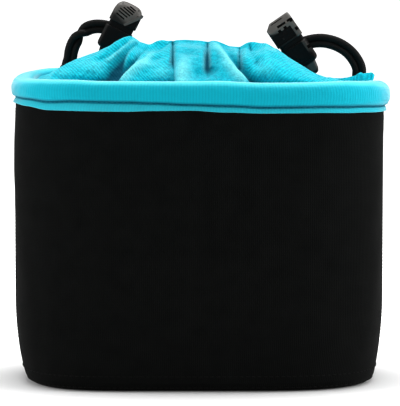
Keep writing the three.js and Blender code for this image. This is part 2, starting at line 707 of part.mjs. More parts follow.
// The plunger: the domed cap, and the stem that its slot lets the cord through
function plungerGeometry() {
  const hollow = boxSolid(
    [-SLEEVE_HALF_WIDTH - FIT, -SLEEVE_HALF_THICKNESS - FIT, HOOD_LIP - REACH],
    [SLEEVE_HALF_WIDTH + FIT, SLEEVE_HALF_THICKNESS + FIT, HOOD_CEILING],
  );
  const stem = boxSolid(
    [-CAVITY_HALF_WIDTH + FIT, -CAVITY_HALF_THICKNESS + FIT, STEM_BOTTOM],
    [CAVITY_HALF_WIDTH - FIT, CAVITY_HALF_THICKNESS - FIT, HOOD_CEILING + REACH],
  );
  const slot = boxSolid(
    [-CAVITY_HALF_WIDTH - REACH, -SLOT_WIDTH / 2, STEM_SLOT_FLOOR],
    [CAVITY_HALF_WIDTH + REACH, SLOT_WIDTH / 2, STACK_TOP + PRESS_TRAVEL],
  );
  const strandRelief = boxSolid(
    [-LOCK_HALF_WIDTH - LIP_PROUD - REACH, -SLOT_WIDTH / 2, HOOD_LIP - REACH],
    [LOCK_HALF_WIDTH + LIP_PROUD + REACH, SLOT_WIDTH / 2, HOOD_LIP + REACH],
  );
  let plunger = hoodSolid().subtract(hollow).subtract(strandRelief).add(stem).subtract(slot);
  for (const cut of [...grooveCuts(), ...notchCuts()]) {
    plunger = plunger.subtract(cut);
  }
  return geometryOf(plunger);
}

// A box that cuts into one of two opposite faces, from a depth out past the face
function cutInto(side, axis, depthAt, farAt, spans) {
  const low = spans.map(([from]) => from);
  const high = spans.map(([, to]) => to);
  low[axis] = Math.min(side * depthAt, side * farAt);
  high[axis] = Math.max(side * depthAt, side * farAt);
  return boxSolid(low, high);
}

// Grip grooves across both broad faces of the cap
function grooveCuts() {
  const lowest = HOOD_LIP + LIP_HEIGHT + GROOVES_ABOVE_LIP;
  const bottom = LOCK_HALF_THICKNESS - CAP_TAPER - GROOVE_DEPTH;
  const halfLength = LOCK_HALF_WIDTH - GROOVE_MARGIN;
  const cuts = [];
  for (let i = 0; i < GROOVE_COUNT; i += 1) {
    const z = lowest + i * GROOVE_PITCH;
    const spans = [[-halfLength, halfLength], [0, 0], [z, z + GROOVE_WIDTH]];
    for (const side of [-1, 1]) {
      cuts.push(cutInto(side, 1, bottom, LOCK_HALF_THICKNESS + REACH, spans));
    }
  }
  return cuts;
}

// Square notches down both narrow sides of the cap
function notchCuts() {
  const bottom = LOCK_HALF_WIDTH - CAP_TAPER - NOTCH_DEPTH;
  const cuts = [];
  for (let i = 0; i < NOTCH_COUNT; i += 1) {
    const z = LOCK_TOP - NOTCH_BELOW_TOP - i * NOTCH_PITCH;
    const spans = [[0, 0], [-NOTCH_SIZE / 2, NOTCH_SIZE / 2], [z - NOTCH_SIZE / 2, z + NOTCH_SIZE / 2]];
    for (const side of [-1, 1]) {
      cuts.push(cutInto(side, 0, bottom, LOCK_HALF_WIDTH + REACH, spans));
    }
  }
  return cuts;
}

// The coil spring under the plunger
function springGeometry() {
  const radius = CAVITY_HALF_THICKNESS - SPRING_CLEARANCE - SPRING_WIRE / 2;
  const bottom = CAVITY_FLOOR + FIT + SPRING_WIRE / 2;
  const top = STEM_BOTTOM - FIT - SPRING_WIRE / 2;
  const steps = SPRING_TURNS * SPRING_TURN_STEPS;
  const points = [];
  for (let i = 0; i <= steps; i += 1) {
    const turn = (2 * Math.PI * i) / SPRING_TURN_STEPS;
    points.push([radius * Math.cos(turn), radius * Math.sin(turn), bottom + ((top - bottom) * i) / steps]);
  }
  return cordAlong(points, SPRING_WIRE, SPRING_SIDES, (2 * Math.PI * radius) / SPRING_TURN_STEPS);
}

function addLocks() {
  for (const [side, { centreX, centreZ, radius, tilt }] of Object.entries(LOCKS)) {
    const lock = new THREE.Group();
    const turn = radians(tilt);
    const x = centreX + radius * Math.sin(turn);
    lock.position.set(x, MOUTH_Y, RIM_TOP + centreZ + radius * Math.cos(turn));
    lock.rotation.y = turn;
    addPiece(lock, `${side}_lock_barrel`, barrelGeometry(), LOCK_PLASTIC);
    addPiece(lock, `${side}_lock_plunger`, plungerGeometry(), LOCK_PLASTIC);
    addPiece(lock, `${side}_lock_spring`, springGeometry(), SPRING_STEEL);
    group.add(lock);
  }
}

addWalls();
addBase();
addLining();
addRimBand();
addRimStrip();
addBaseStitching();
addSideSeams();
addCollar();
addCasings();
addTails();
addKnots();
addLocks();

export default group;
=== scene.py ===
# Looks of the neoprene camera pouch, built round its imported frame. Metres, +Z up, front towards -Y.
import math

import bmesh
import bpy
import numpy as np
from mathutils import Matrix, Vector


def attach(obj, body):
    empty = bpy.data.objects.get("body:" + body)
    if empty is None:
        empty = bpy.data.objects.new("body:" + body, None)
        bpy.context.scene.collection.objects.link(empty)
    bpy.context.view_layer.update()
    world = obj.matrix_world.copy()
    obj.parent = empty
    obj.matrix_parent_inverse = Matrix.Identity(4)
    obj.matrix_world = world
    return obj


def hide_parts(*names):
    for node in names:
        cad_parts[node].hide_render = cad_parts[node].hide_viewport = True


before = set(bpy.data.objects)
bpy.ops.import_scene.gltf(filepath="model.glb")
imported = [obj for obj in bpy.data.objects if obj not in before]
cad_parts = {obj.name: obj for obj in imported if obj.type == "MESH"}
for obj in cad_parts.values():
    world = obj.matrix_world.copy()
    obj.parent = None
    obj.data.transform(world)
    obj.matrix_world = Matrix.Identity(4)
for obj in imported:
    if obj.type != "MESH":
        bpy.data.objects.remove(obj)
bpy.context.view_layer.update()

MM = 0.001

# The body, as in the frame
BODY_WIDTH = 180 * MM
BODY_DEPTH = 112 * MM
SQUARENESS = 3
RIM_TOP = 148 * MM
NEOPRENE = 4 * MM
LINING = 1.5 * MM
FIT = 0.3 * MM
FOOT_RADIUS = 4 * MM
TAPER = 4.5 * MM
TAPER_HEIGHT = 40 * MM
BASE_THICKNESS = 4 * MM
BAND_HEIGHT = 11 * MM
BAND_ROOF = 2 * MM
BAND_LIMB = 2 * MM
STRIP_HEIGHT = 3 * MM
THREAD = 0.7 * MM
BASE_STITCH_HEIGHT = 7.5 * MM
LOW_STITCH_HEIGHT = 1.9 * MM
SIDE_SEAM_WIDTH = 5 * MM
SEAM_PROUD = 0.15 * MM

LINING_OUTER = NEOPRENE + FIT
LINING_INNER = LINING_OUTER + LINING
COLLAR_OUTER = LINING_INNER + FIT + BAND_LIMB + FIT
BAND_BOTTOM = RIM_TOP - BAND_HEIGHT
WALL_TOP = RIM_TOP - BAND_ROOF - FIT
STRIP_TOP = BAND_BOTTOM - THREAD - 1.5 * FIT
STRIP_BOTTOM = STRIP_TOP - STRIP_HEIGHT
GROOVE = (STRIP_TOP + BAND_BOTTOM) / 2
SEAM_HEIGHT = BASE_THICKNESS + FIT
LINING_FLOOR_TOP = SEAM_HEIGHT + LINING

# The resting foot's fuller corners, and how its left side draws in
LEFT_CORNER_POWER = 5.2
RIGHT_CORNER_POWER = 3.7
FOOT_CORNER_HEIGHT = 45 * MM
FOOT_SIDE_SHARE = 0.2
LEFT_TUCK = 1.2 * MM
LEFT_TUCK_HEIGHT = 20 * MM

# The collar and its mouth
COLLAR_CLOTH = 2.5 * MM
SKIRT_DEPTH = 8 * MM
MOUTH_X = 2.5 * MM
MOUTH_Y = 4 * MM
MOUTH_HALF_WIDTH = 36 * MM
MOUTH_HALF_DEPTH = 10 * MM
CASING_RADIUS = 3.8 * MM
CASING_END = 27
CORD_DROP = 0.8 * MM
BARE_EDGE_RADIUS = 1.3 * MM
SIDE_DROP = 3 * MM
BACK_DROP = 2 * MM

# Heights above the rim's top, by degrees from the left side over the front (or the back) to the right
ROOT_HEIGHTS = [(0, -4), (20, -2), (158, -2), (170, -6.5), (180, -8.5)]
SWELL_HEIGHTS = [
    (0, -6), (12, -1), (21, 10), (30, 19), (45, 21), (60, 19), (90, 18),
    (105, 17), (120, 15), (135, 10), (150, 2), (160, -2), (170, -6), (180, -7),
]
CASING_HEIGHTS = [
    (0, 9), (24, 13.6), (34, 13.9), (44, 15.9), (56, 12.2), (70, 13.6), (90, 13.4),
    (105, 13), (120, 11.2), (134, 13.2), (146, 10.6), (156, 10.3), (180, 1),
]

# The cords: routes from the casing's end through the lock to the knot, heights above the rim's top
CORD_DIAMETER = 3 * MM
BRAID_RADIUS = 1.75 * MM
TAIL_POINTS = {
    "left_front_tail": [
        (-29.9, -0.4, 13.6), (-32.4, 0.9, 12.6), (-34.9, 2.7, 12.2), (-36.7, 3.9, 14),
        (-38.2, 4, 16.5), (-40.5, 4, 18.9), (-43.2, 4, 20.7), (-46.2, 4, 21.8), (-49.7, 4, 22.25),
        (-52.7, 4, 21.9), (-55.2, 3.5, 20.9), (-56.9, 2.5, 20.7), (-58.7, 2.1, 20.4),
        (-60.5, 2.6, 19.6), (-62, 3.7, 18.2), (-63.5, 4, 15.5), (-64.6, 4, 11.9), (-65.1, 4, 8.4),
        (-65.9, 4, 5.8),
    ],
    "left_back_tail": [
        (-30, 8.4, 12.7), (-32.2, 7.2, 12.9), (-33.5, 5.4, 14.3), (-34.6, 4.1, 17), (-37, 4, 20.2),
        (-41.7, 4, 23.6), (-45.4, 4, 25), (-49.7, 4, 25.55), (-53.4, 4, 25.15), (-56.3, 4.5, 23.9),
        (-57.7, 5.4, 22.3), (-58.6, 5.9, 20.5), (-59, 5.7, 18.3), (-59.4, 4.6, 16.2),
        (-60.5, 4, 14), (-61.5, 4, 10.8), (-62.1, 4, 7.4), (-63.5, 4, 3.6),
    ],
    "right_front_tail": [
        (35.1, -0.3, 10.2), (37.3, 0.9, 9.1), (39.6, 2.6, 7), (41.8, 3.9, 6.8), (44.3, 4, 9.1),
        (47.55, 4, 11.9), (51.3, 4, 13.9), (55.2, 4, 15), (59.3, 4, 15.3), (63.3, 4, 14.7),
        (67.1, 4, 13.3), (70.6, 4, 11.2), (73.3, 4, 8.5), (75.4, 4, 5.2), (76.3, 4, 2.5),
        (76.2, 4, 0.1),
    ],
    "right_back_tail": [
        (35, 8.4, 9.4), (37.2, 7.1, 9.1), (38.9, 5.3, 9.2), (40.6, 4.1, 10), (42.6, 4, 12),
        (45.7, 4, 14.6), (50.1, 4, 16.9), (54.6, 4, 18.2), (59.4, 4, 18.6), (64.1, 4, 17.9),
        (68.6, 4, 16.3), (72.6, 4, 13.8), (76, 4, 10.5), (78.5, 4, 6.6), (79.6, 4, 3.2),
        (79.5, 4, 0.1),
    ],
}
KNOTS = {
    "left": {"x": -66.9, "z": 1.5, "lean": 38.7},
    "right": {"x": 77.6, "z": -3.6, "lean": 0},
}
KNOT_RADIUS = 3.6 * MM
KNOT_HEIGHT = 6.6 * MM
KNOT_CORD = 1.35 * MM
KNOT_END_RADIUS = 1.3 * MM

# The cord locks, each in its own frame: X along the cord, Y through the lock, Z towards the cap
LOCKS = {
    "left": {"centre_x": -49.7, "centre_z": 7.9, "radius": 16, "tilt": 27, "slide": 2.7},
    "right": {"centre_x": 58.6, "centre_z": -4.2, "radius": 21.15, "tilt": -34.5, "slide": 0},
}
# Heights in a lock, and half sizes across and through, in millimetres
LOCK_BOTTOM = -15.8
CAVITY_FLOOR = -10.6
SHOULDER = 1.65
BARREL_TOP = 4.65
SLEEVE = (6.4, 5.1)
HOOD = (6.6, 5.3)
HOOD_LIP = 4.45
HOOD_CEILING = 7.45
CORD_NOTCH = 1.25
# The shapes of the caps' ends
DOME_START = 10
DOME_HEIGHT = 5.4
RIGHT_CAP_TOP = 16.9
SLOPE_START = 12.6
SLOPE_SHARE = 0.45
CAP_HALF_THICKNESS = 6.15
# How far from the middle the sunk faces of a cap and of a barrel lie, and a place outside both
CAP_SUNK = 5.7
BARREL_SUNK = 5.55
OUTSIDE = 9
# How far from the middle the left cap's oblique lip starts and ends
LIP_DEPTH = (6.8, 5.55)
# The left cap's grooves: middle across and up, half length
LEFT_GROOVES = [
    (-2.6, 7.9, 2.5), (-2, 9.4, 2.8), (-1.5, 10.7, 3.1), (-0.3, 11.8, 2.9), (0.6, 12.8, 2.3),
    (1.2, 13.8, 1.8),
]
GROOVE_LEAN = 13
# The right cap's notches: middle across and up, half length, half height
RIGHT_NOTCHES = [
    (0.75, 13.5, 2.3, 0.6), (5.3, 13.5, 1.2, 0.6), (-1.6, 11.4, 0.8, 0.7), (1.6, 11.4, 0.8, 0.7),
]

# The photograph's view
PHOTO_WIDTH = 400
PHOTO_HEIGHT = 406
CAMERA_ELEVATION = math.radians(5.5)
CAMERA_DISTANCE = 1.5
CAMERA_TARGET = Vector((0, 0, 85.5 * MM))
METRES_PER_PIXEL = 0.4905 * MM

# How the soft rim wanders up and down, by x: (x, millimetres)
TOP_SAG = [
    (-92, -0.6), (-73, 0.2), (-61, 0.4), (-48, 0), (-4, 0), (6, 0.2), (31, -0.7), (44, -0.7),
    (69, -0.4), (81, -1.0), (92, -2.8),
]
GROOVE_SAG = [
    (-92, 2.5), (-83, 2.2), (-73, 1.4), (-61, 2), (-35, 1.8), (-23, 1.4), (-4, 0.6), (12, 0.1),
    (31, -0.7), (56, -0.7), (75, -1.1), (92, -2),
]
STRIP_SAG = [
    (-92, 3.4), (-83, 2.6), (-73, 1.3), (-35, 1.2), (-23, 1.6), (-4, 1.8), (12, 0.9), (31, 0.4),
    (56, 0.4), (75, -0.1), (92, -0.8),
]
BACK_SAG = [(-92, 0.4), (-75, 1.7), (-20, 0), (60, -4.6), (80, -4.6), (92, -2.8)]
SAG_STARTS = 85 * MM
SAG_TURNS_BACK = 25 * MM
SOFT_WIDTH = 0.9955
BAND_SHIFT = 0.4 * MM
STRIP_SHIFT = -0.1 * MM
WALL_SHIFT = -0.5 * MM
SHIFT_CHANGES = (118 * MM, 133 * MM)

# Unevenness of each cloth, coarse and fine: (height, size of its features), in millimetres
WALL_RIPPLES = [(0.35, 55), (0.12, 17)]
BAND_RIPPLES = [(0.16, 26), (0.05, 6)]
FRONT_RIPPLES = [(0.3, 9), (0.15, 4)]
BACK_RIPPLES = [(0.5, 14), (0.2, 5)]
# The height where the wall's unevenness is full, and the heights over which it fades under the rim
WALL_FREE_FROM = 25 * MM
WALL_HELD = (122 * MM, 132 * MM)

# The distance from rib to rib, or row to row, in each cloth
PLUSH_RIB = 1.35 * MM
KNIT_RIB = 1.42 * MM
KNIT_ROW = 0.9 * MM
JERSEY_WALE = 0.95 * MM
JERSEY_COURSE = 0.75 * MM

# The band's section: inward offset and height above the band's lower edge, in millimetres
BAND_SECTION = [
    (-0.3, 0.1), (-1.3, 0), (-2.0, 0.7), (-2.4, 2.4), (-2.6, 4.4), (-2.55, 6.4), (-2.1, 8.3),
    (-1.1, 9.9), (0.5, 10.8), (2.6, 11.1), (4.8, 11.1), (6.6, 10.7), (7.8, 9.6), (8.1, 7.8),
    (8.1, 4), (8.0, 1), (7.3, 0.1), (6.4, 0.1), (6.1, 1), (6.1, 4.5), (6.0, 8.2), (5.0, 8.95),
    (3, 9), (0.6, 8.95), (-0.3, 8.1), (-0.3, 4), (-0.3, 1),
]
STRIP_SECTION = [
    (-0.1, 0.1), (-0.9, 0), (-1.25, 0.4), (-1.2, 1.2), (-1.0, 2.2), (-0.75, 2.9), (-0.5, 3.1),
    (-0.4, 3.5), (-0.4, 4.1), (-0.1, 4.1), (-0.1, 3), (-0.1, 1.5),
]

# Folds of the gathered front, on the photograph's frame in pixels, each from its top down:
# (x, y, depth in millimetres, half width on the left, half width on the right)
VALLEYS = [
    [(137, 39.5, 0.6, 2, 1.5), (127, 46.3, 1.6, 4, 1.3), (119, 51, 1.6, 5, 1.3),
     (107.5, 56.6, 1.2, 5, 1.3), (101, 56.5, 0.2, 3, 1.5)],
    [(138, 43.5, 1, 2, 1.5), (133, 48, 3, 3, 1.8), (128, 53, 4.5, 5, 2), (124, 59.5, 6, 7, 2),
     (120.5, 67.5, 8, 9, 2), (117, 73, 9, 10, 2.2), (114, 81, 7, 9, 2)],
    [(147, 44.3, 0.8, 2, 1), (143.5, 47.5, 2.5, 2.5, 1), (140, 52, 4, 3, 1), (137, 58, 5, 3.5, 1),
     (133.5, 63.5, 6, 4, 1), (128, 69, 7, 5, 1.1), (121, 74.5, 8, 5, 1.1), (114.5, 80.5, 8, 5, 1.1)],
    [(172.4, 40, 2, 1.6, 1.5), (172.6, 46, 6, 2, 1.7), (172.7, 62, 7, 2.4, 1.6),
     (174, 70, 2.6, 5, 1.1), (174, 82, 2.4, 6, 1)],
    [(208.3, 41, 1.5, 1.5, 1.2), (207.6, 46, 5, 2, 1.5), (207.2, 55, 8, 2.3, 2),
     (207, 66, 9, 2.6, 3), (207.5, 72, 5, 5, 6), (208, 79, 1, 7, 8)],
    [(221, 44.5, 0.6, 1.2, 2), (226, 50, 2, 1.1, 3), (230, 55.5, 3, 1.1, 3.4), (235, 63, 4, 1.1, 3.5),
     (240.5, 69.5, 6, 1.1, 4), (246.5, 76, 7, 1.1, 4.5), (253, 83, 6, 1.1, 5)],
    [(239.6, 45.5, 1.5, 1.6, 1.4), (239.6, 56, 4, 1.8, 1.6), (240, 66, 4, 2, 1.8)],
    [(248.5, 43, 1.5, 1.3, 1.3), (250.3, 49, 2.6, 1.6, 1.6), (252, 54, 2.2, 1.8, 2),
     (256, 60, 1.2, 2.5, 3), (258, 66, 0.3, 3, 3)],
    [(52, 78, 1, 3, 2), (80, 80, 3, 4, 2.6), (108, 82, 6, 5, 4), (116, 82, 6, 5, 4)],
    [(132, 83, 1, 3, 2), (150, 83, 2.6, 3, 2.6), (172, 83, 3, 3, 3)],
    [(247, 82, 3, 4, 3), (256, 83.5, 6, 5, 3.6), (280, 84.5, 6, 5, 3.2), (300, 84, 3, 4, 2.2),
     (318, 82, 1, 3, 2)],
]
RIDGES = [
    [(137, 41.5, 0.7, 1.6, 2), (131, 45.6, 1.2, 1.6, 2), (124, 50.4, 1.4, 1.6, 2.2),
     (116.5, 55.2, 1.4, 1.8, 2.5), (108, 58.8, 0.9, 3, 3)],
    [(153, 45.5, 0.5, 1.5, 4), (149, 51, 1.2, 1.5, 4), (144, 58, 1.6, 1.6, 5), (138, 63.5, 1.8, 1.6, 5),
     (128, 72, 2, 1.6, 6), (117, 81, 2, 1.6, 6)],
    [(212, 43, 0.6, 4, 2), (220, 46.5, 1.3, 5, 1.6), (226, 53, 1.8, 5, 1.6), (231.5, 61, 2, 6, 1.6),
     (238, 69, 2.2, 7, 1.6), (246, 77.5, 2.2, 8, 1.6), (251, 83, 2, 8, 1.6)],
    [(184, 61, 0.6, 6, 7), (181, 70, 1.6, 5, 9), (180, 80, 1.6, 5, 10)],
]
VALLEY_DEPTH = 1.2
VALLEY_WIDTH = 1.15
DEEP_HOLLOW = 8.5
SLOT_DEPTH = 6
# Soft swells and dips: (x, y, height, half width, half height)
SWELLS = [
    (148, 61.5, 1.2, 8, 4), (156, 54.5, -1.8, 8, 3.5), (162, 71, 1.2, 9, 8), (184, 65, 1.2, 7, 6),
    (189, 53, -2, 8, 4.5), (216, 62, -2, 5, 9), (224, 64, 0.8, 3, 3), (236, 52, 0.9, 2.6, 4),
    (244.5, 55, 1.0, 2.6, 8), (257.5, 63.5, -2, 4.5, 4), (265, 72, 0.9, 9, 5), (270, 52, 0.8, 9, 5),
    (95, 66, 1.0, 16, 6), (62, 74, 0.8, 8, 4), (101, 58, -1.2, 8, 3), (196, 74, -1.2, 5, 6),
]
# The picture columns over which the plush ribs fade on the left and come clear on the right
CLEAR_LEFT = (168, 177)
CLEAR_RIGHT = (236, 250)
RIB_SHIFT_LEFT = 84.1 * MM
RIB_SHIFT_RIGHT = 81.8 * MM
# Crests of the loose cloth at the right end, on the photograph's frame in pixels
TUCK_CRESTS = [
    (322, 84), (327, 77.6), (341, 78), (346, 77.4), (352, 76.2), (355.5, 75.4), (357.4, 73.8),
    (360.6, 72.3), (363.8, 73.4), (367.6, 72.7), (372, 72.2), (374.2, 74.2), (376.2, 78), (378.5, 84),
]
TUCK_Y = -5.5 * MM
TUCK_WIDTH = 3.6 * MM
TUCK_START = 77 * MM
TUCK_REACH = 0.75
# The collar's top edge on the photograph's frame, the columns that it is fitted in, the row that its
# heights count from, and how far below the edge the back stays, in pixels
COLLAR_EDGE = [
    (44.6, 75), (58.7, 66.6), (74.4, 59.2), (98, 51), (109, 46), (116.5, 40.5), (124, 36.7),
    (130.3, 35.2), (135, 37.5), (139.5, 41.3), (147, 44.4), (151, 44), (157, 41.3), (163, 39.7),
    (171, 39.6), (172.8, 41), (175, 39.7), (186, 39.6), (200, 40.4), (207, 41.6), (209, 41.6),
    (213, 40.3), (217, 40.8), (229, 45.8), (239.5, 46.6), (245, 43), (249, 41.6), (265, 41.6),
    (276.5, 47.2), (289, 57), (305, 67), (320, 77), (327.5, 79),
]
EDGE_COLUMNS = np.arange(40, 336, 1.0)
COLLAR_BASE_ROW = 82
LEAST_HEIGHT = 6
BEHIND = 0.8
# Creases of the gathered back: (degrees from the left, half width in degrees, depth in millimetres)
BACK_CREASES = [
    (31, 3, 3), (44, 3.5, 4.5), (57, 3, 3.5), (68, 3, 5), (82, 3.5, 4), (93, 3, 5), (108, 3.5, 4),
    (121, 3, 4.5), (136, 4, 4), (150, 3.5, 2.5),
]


def add_object(name, data):
    thing = bpy.data.objects.new(name, data)
    bpy.context.scene.collection.objects.link(thing)
    return thing


def make_camera():
    data = bpy.data.cameras.new("camera")
    camera = add_object("camera", data)
    back = Vector((0, -math.cos(CAMERA_ELEVATION), math.sin(CAMERA_ELEVATION)))
    camera.location = CAMERA_TARGET + back * CAMERA_DISTANCE
    camera.rotation_euler = (-back).to_track_quat("-Z", "Y").to_euler()
    data.sensor_width = 36
    data.lens = data.sensor_width * CAMERA_DISTANCE / (PHOTO_HEIGHT * METRES_PER_PIXEL)
    data.clip_start = 0.1
    data.clip_end = 30
    bpy.context.scene.camera = camera


def to_picture(points):
    """Where points fall on the photograph's frame, in its pixels."""
    x, y, z = points[..., 0], points[..., 1], points[..., 2] - CAMERA_TARGET.z
    cos, sin = math.cos(CAMERA_ELEVATION), math.sin(CAMERA_ELEVATION)
    scale = CAMERA_DISTANCE / (CAMERA_DISTANCE + y * cos - z * sin) / METRES_PER_PIXEL
    return PHOTO_WIDTH / 2 + x * scale, PHOTO_HEIGHT / 2 - (y * sin + z * cos) * scale


def mix(low, high, share):
    return low + (high - low) * share


def smoothstep(value, low, high):
    share = np.clip((np.asarray(value, float) - low) / (high - low), 0, 1)
    return share * share * (3 - 2 * share)


def bell(distance, width, power=2):
    return np.exp(-((np.abs(distance) / width) ** power))


def eased(knots, at):
    """Values from a list of (place, value), in the list's units, with no corners."""
    place, value = np.array(knots, float).T
    last = np.clip(np.searchsorted(place, at), 1, len(place) - 1)
    return mix(value[last - 1], value[last], smoothstep(at, place[last - 1], place[last]))


def ripples(points, layers, seed):
    """Smooth unevenness of a cloth, in metres, from layers of (height, size) in millimetres."""
    waves = 9
    total = np.zeros(points.shape[:-1])
    for number, (height, size) in enumerate(layers):
        random = np.random.default_rng(seed + number)
        for _ in range(waves):
            way = random.normal(size=3)
            way *= 2 * math.pi / (size * MM * random.uniform(0.7, 1.6)) / np.linalg.norm(way)
            total += height * MM * np.sin(points @ way + random.uniform(0, 2 * math.pi))
    return total / math.sqrt(waves / 2) / 1.6


def leaned(points, degrees):
    """Points turned about Y, from +Z towards +X."""
    cos, sin = math.cos(math.radians(degrees)), math.sin(math.radians(degrees))
    x, y, z = np.moveaxis(np.asarray(points, float), -1, 0)
    return stacked(x * cos + z * sin, y, z * cos - x * sin)


def run_along(points):
    """The distance along a line to each of its points."""
    return np.concatenate([[0], np.cumsum(np.linalg.norm(np.diff(points, axis=0), axis=1))])


def stacked(*values):
    """Points from their coordinates, which may differ in shape as long as they fit together."""
    return np.stack(np.broadcast_arrays(*values), -1)


def push_out(points, turns, amount):
    """Moves points outward in plan, where each row has its own turn."""
    points[..., :2] += amount[..., None] * stacked(np.cos(turns), np.sin(turns))[:, None, :]


def plan_point(turn, offset):
    """Points of the body's plan at an inward offset from its outer face, turn in radians."""
    power = 2 / SQUARENESS
    cos, sin = np.cos(turn), np.sin(turn)
    x = (BODY_WIDTH / 2 - offset) * np.sign(cos) * np.abs(cos) ** power
    y = (BODY_DEPTH / 2 - offset) * np.sign(sin) * np.abs(sin) ** power
    return x, y


def even_turns(first, last, count, offset=0):
    """Turns in radians, between two in degrees, that lie evenly along the plan, and the run to each."""
    fine = np.radians(np.linspace(first, last, 6001))
    run = run_along(stacked(*plan_point(fine, offset)))
    even = np.linspace(0, run[-1], count)
    return np.interp(even, run, fine), even


def foot_inset(z):
    below = np.maximum(0, FOOT_RADIUS - z)
    arc = FOOT_RADIUS - np.sqrt(np.maximum(0, FOOT_RADIUS**2 - below**2))
    return arc + TAPER * np.maximum(0, 1 - z / TAPER_HEIGHT) ** 2


def fuller_foot(points):
    """How far the resting foot's corners are pushed out, as factors on x and y."""
    u, v = np.abs(points[..., 0]) / (BODY_WIDTH / 2), np.abs(points[..., 1]) / (BODY_DEPTH / 2)
    u, v = u + 1e-9, v + 1e-9
    power = np.where(points[..., 0] < 0, LEFT_CORNER_POWER, RIGHT_CORNER_POWER)
    now = (u**SQUARENESS + v**SQUARENESS) ** (1 / SQUARENESS)
    factor = now / (u**power + v**power) ** (1 / power)
    more = (factor - 1) * (1 - smoothstep(points[..., 2], 0, FOOT_CORNER_HEIGHT))
    return stacked(1 + FOOT_SIDE_SHARE * more, 1 + more)


def settle(points):
    """Soft pieces follow the rim's uneven line, and the walls lean a little to the left."""
    points = np.array(points, float)
    x, y, z = points[..., 0] / MM, points[..., 1], points[..., 2].copy()
    at_rim = smoothstep(z, SAG_STARTS, STRIP_BOTTOM)
    over_strip = np.clip((z - STRIP_BOTTOM) / (GROOVE - STRIP_BOTTOM), 0, 1)
    over_groove = np.clip((z - GROOVE) / (RIM_TOP - GROOVE), 0, 1)
    front = mix(eased(STRIP_SAG, x) * at_rim, eased(GROOVE_SAG, x), over_strip)
    front = mix(front, eased(TOP_SAG, x), over_groove)
    sag = mix(front, eased(BACK_SAG, x) * at_rim, smoothstep(y, -SAG_TURNS_BACK, SAG_TURNS_BACK))
    points[..., :2] *= fuller_foot(points)
    low = np.maximum(0, 1 - z / LEFT_TUCK_HEIGHT) ** 2
    points[..., 0] += LEFT_TUCK * low * np.clip(-points[..., 0] / (BODY_WIDTH / 2), 0, 1)
    points[..., 2] += sag * MM
    z = points[..., 2]
    shift = mix(WALL_SHIFT, STRIP_SHIFT, smoothstep(z, *SHIFT_CHANGES))
    shift += (BAND_SHIFT - STRIP_SHIFT) * smoothstep(z, STRIP_TOP, STRIP_TOP + 2 * MM)
    points[..., 0] = points[..., 0] * SOFT_WIDTH + shift
    return points


def grid_faces(rows, columns, wrap_rows=False, wrap_columns=False, start=0):
    """Quads of a grid of rows by columns of points, numbered row by row."""
    i = np.arange(rows if wrap_rows else rows - 1)
    j = np.arange(columns if wrap_columns else columns - 1)
    i, j = np.meshgrid(i, j, indexing="ij")
    ni, nj = (i + 1) % rows, (j + 1) % columns
    quads = np.stack([i * columns + j, ni * columns + j, ni * columns + nj, i * columns + nj], -1)
    return (quads.reshape(-1, 4) + start).tolist()


def capped_faces(rows, columns):
    """Quads of a row of closed outlines, and fans to two end points that are numbered after them."""
    faces = grid_faces(rows, columns, wrap_columns=True)
    end, last = rows * columns, (rows - 1) * columns
    for i in range(columns):
        j = (i + 1) % columns
        faces += [[end, j, i], [end + 1, last + i, last + j]]
    return faces


def joined(parts):
    """One set of vertices, faces and cloth coordinates from several."""
    vertices, faces, uvs, start = [], [], [], 0
    for part_vertices, part_faces, part_uv in parts:
        vertices.append(part_vertices)
        uvs.append(part_uv)
        faces += [[index + start for index in face] for face in part_faces]
        start += len(part_vertices)
    return np.concatenate(vertices), faces, np.concatenate(uvs)


def ring(points, along):
    """A band closed round the plan and round its section, from points of turns by profile."""
    rows, columns = points.shape[:2]
    uv = stacked(along[:, None], run_along(points[rows // 4]))
    return points.reshape(-1, 3), grid_faces(rows, columns, True, True), uv.reshape(-1, 2)


def shell(outer, inner, uv):
    """A thick sheet between two grids of the same shape, closed along its borders."""
    rows, columns = outer.shape[:2]
    count = rows * columns
    faces = grid_faces(rows, columns)
    faces += [face[::-1] for face in grid_faces(rows, columns, start=count)]
    number = np.arange(count).reshape(rows, columns)
    for border in (number[0], number[:, -1], number[-1][::-1], number[::-1, 0]):
        faces += [[a, b, b + count, a + count] for a, b in zip(border[:-1].tolist(), border[1:].tolist())]
    vertices = np.concatenate([outer.reshape(-1, 3), inner.reshape(-1, 3)])
    return vertices, faces, np.concatenate([uv.reshape(-1, 2)] * 2)


def smooth_line(points, count, closed=False):
    """A line of that many points, even in length, on one smooth curve through the given ones."""
    points = np.asarray(points, float)
    before, after = 2 * points[:1] - points[1:2], 2 * points[-1:] - points[-2:-1]
    if closed:
        before, after = points[-1:], points[:2]
    line = np.concatenate([before, points, after])
    fine = []
    share = np.linspace(0, 1, 24, endpoint=False)[:, None]
    for p0, p1, p2, p3 in zip(line, line[1:], line[2:], line[3:]):
        a, b, c = -p0 + 3 * p1 - 3 * p2 + p3, 2 * p0 - 5 * p1 + 4 * p2 - p3, p2 - p0
        fine.append(0.5 * (a * share**3 + b * share**2 + c * share + 2 * p1))
    fine = np.concatenate(fine + [line[-2:-1]])
    run = run_along(fine)
    even = np.linspace(0, run[-1], count, endpoint=not closed)
    return np.stack([np.interp(even, run, values) for values in fine.T], -1)


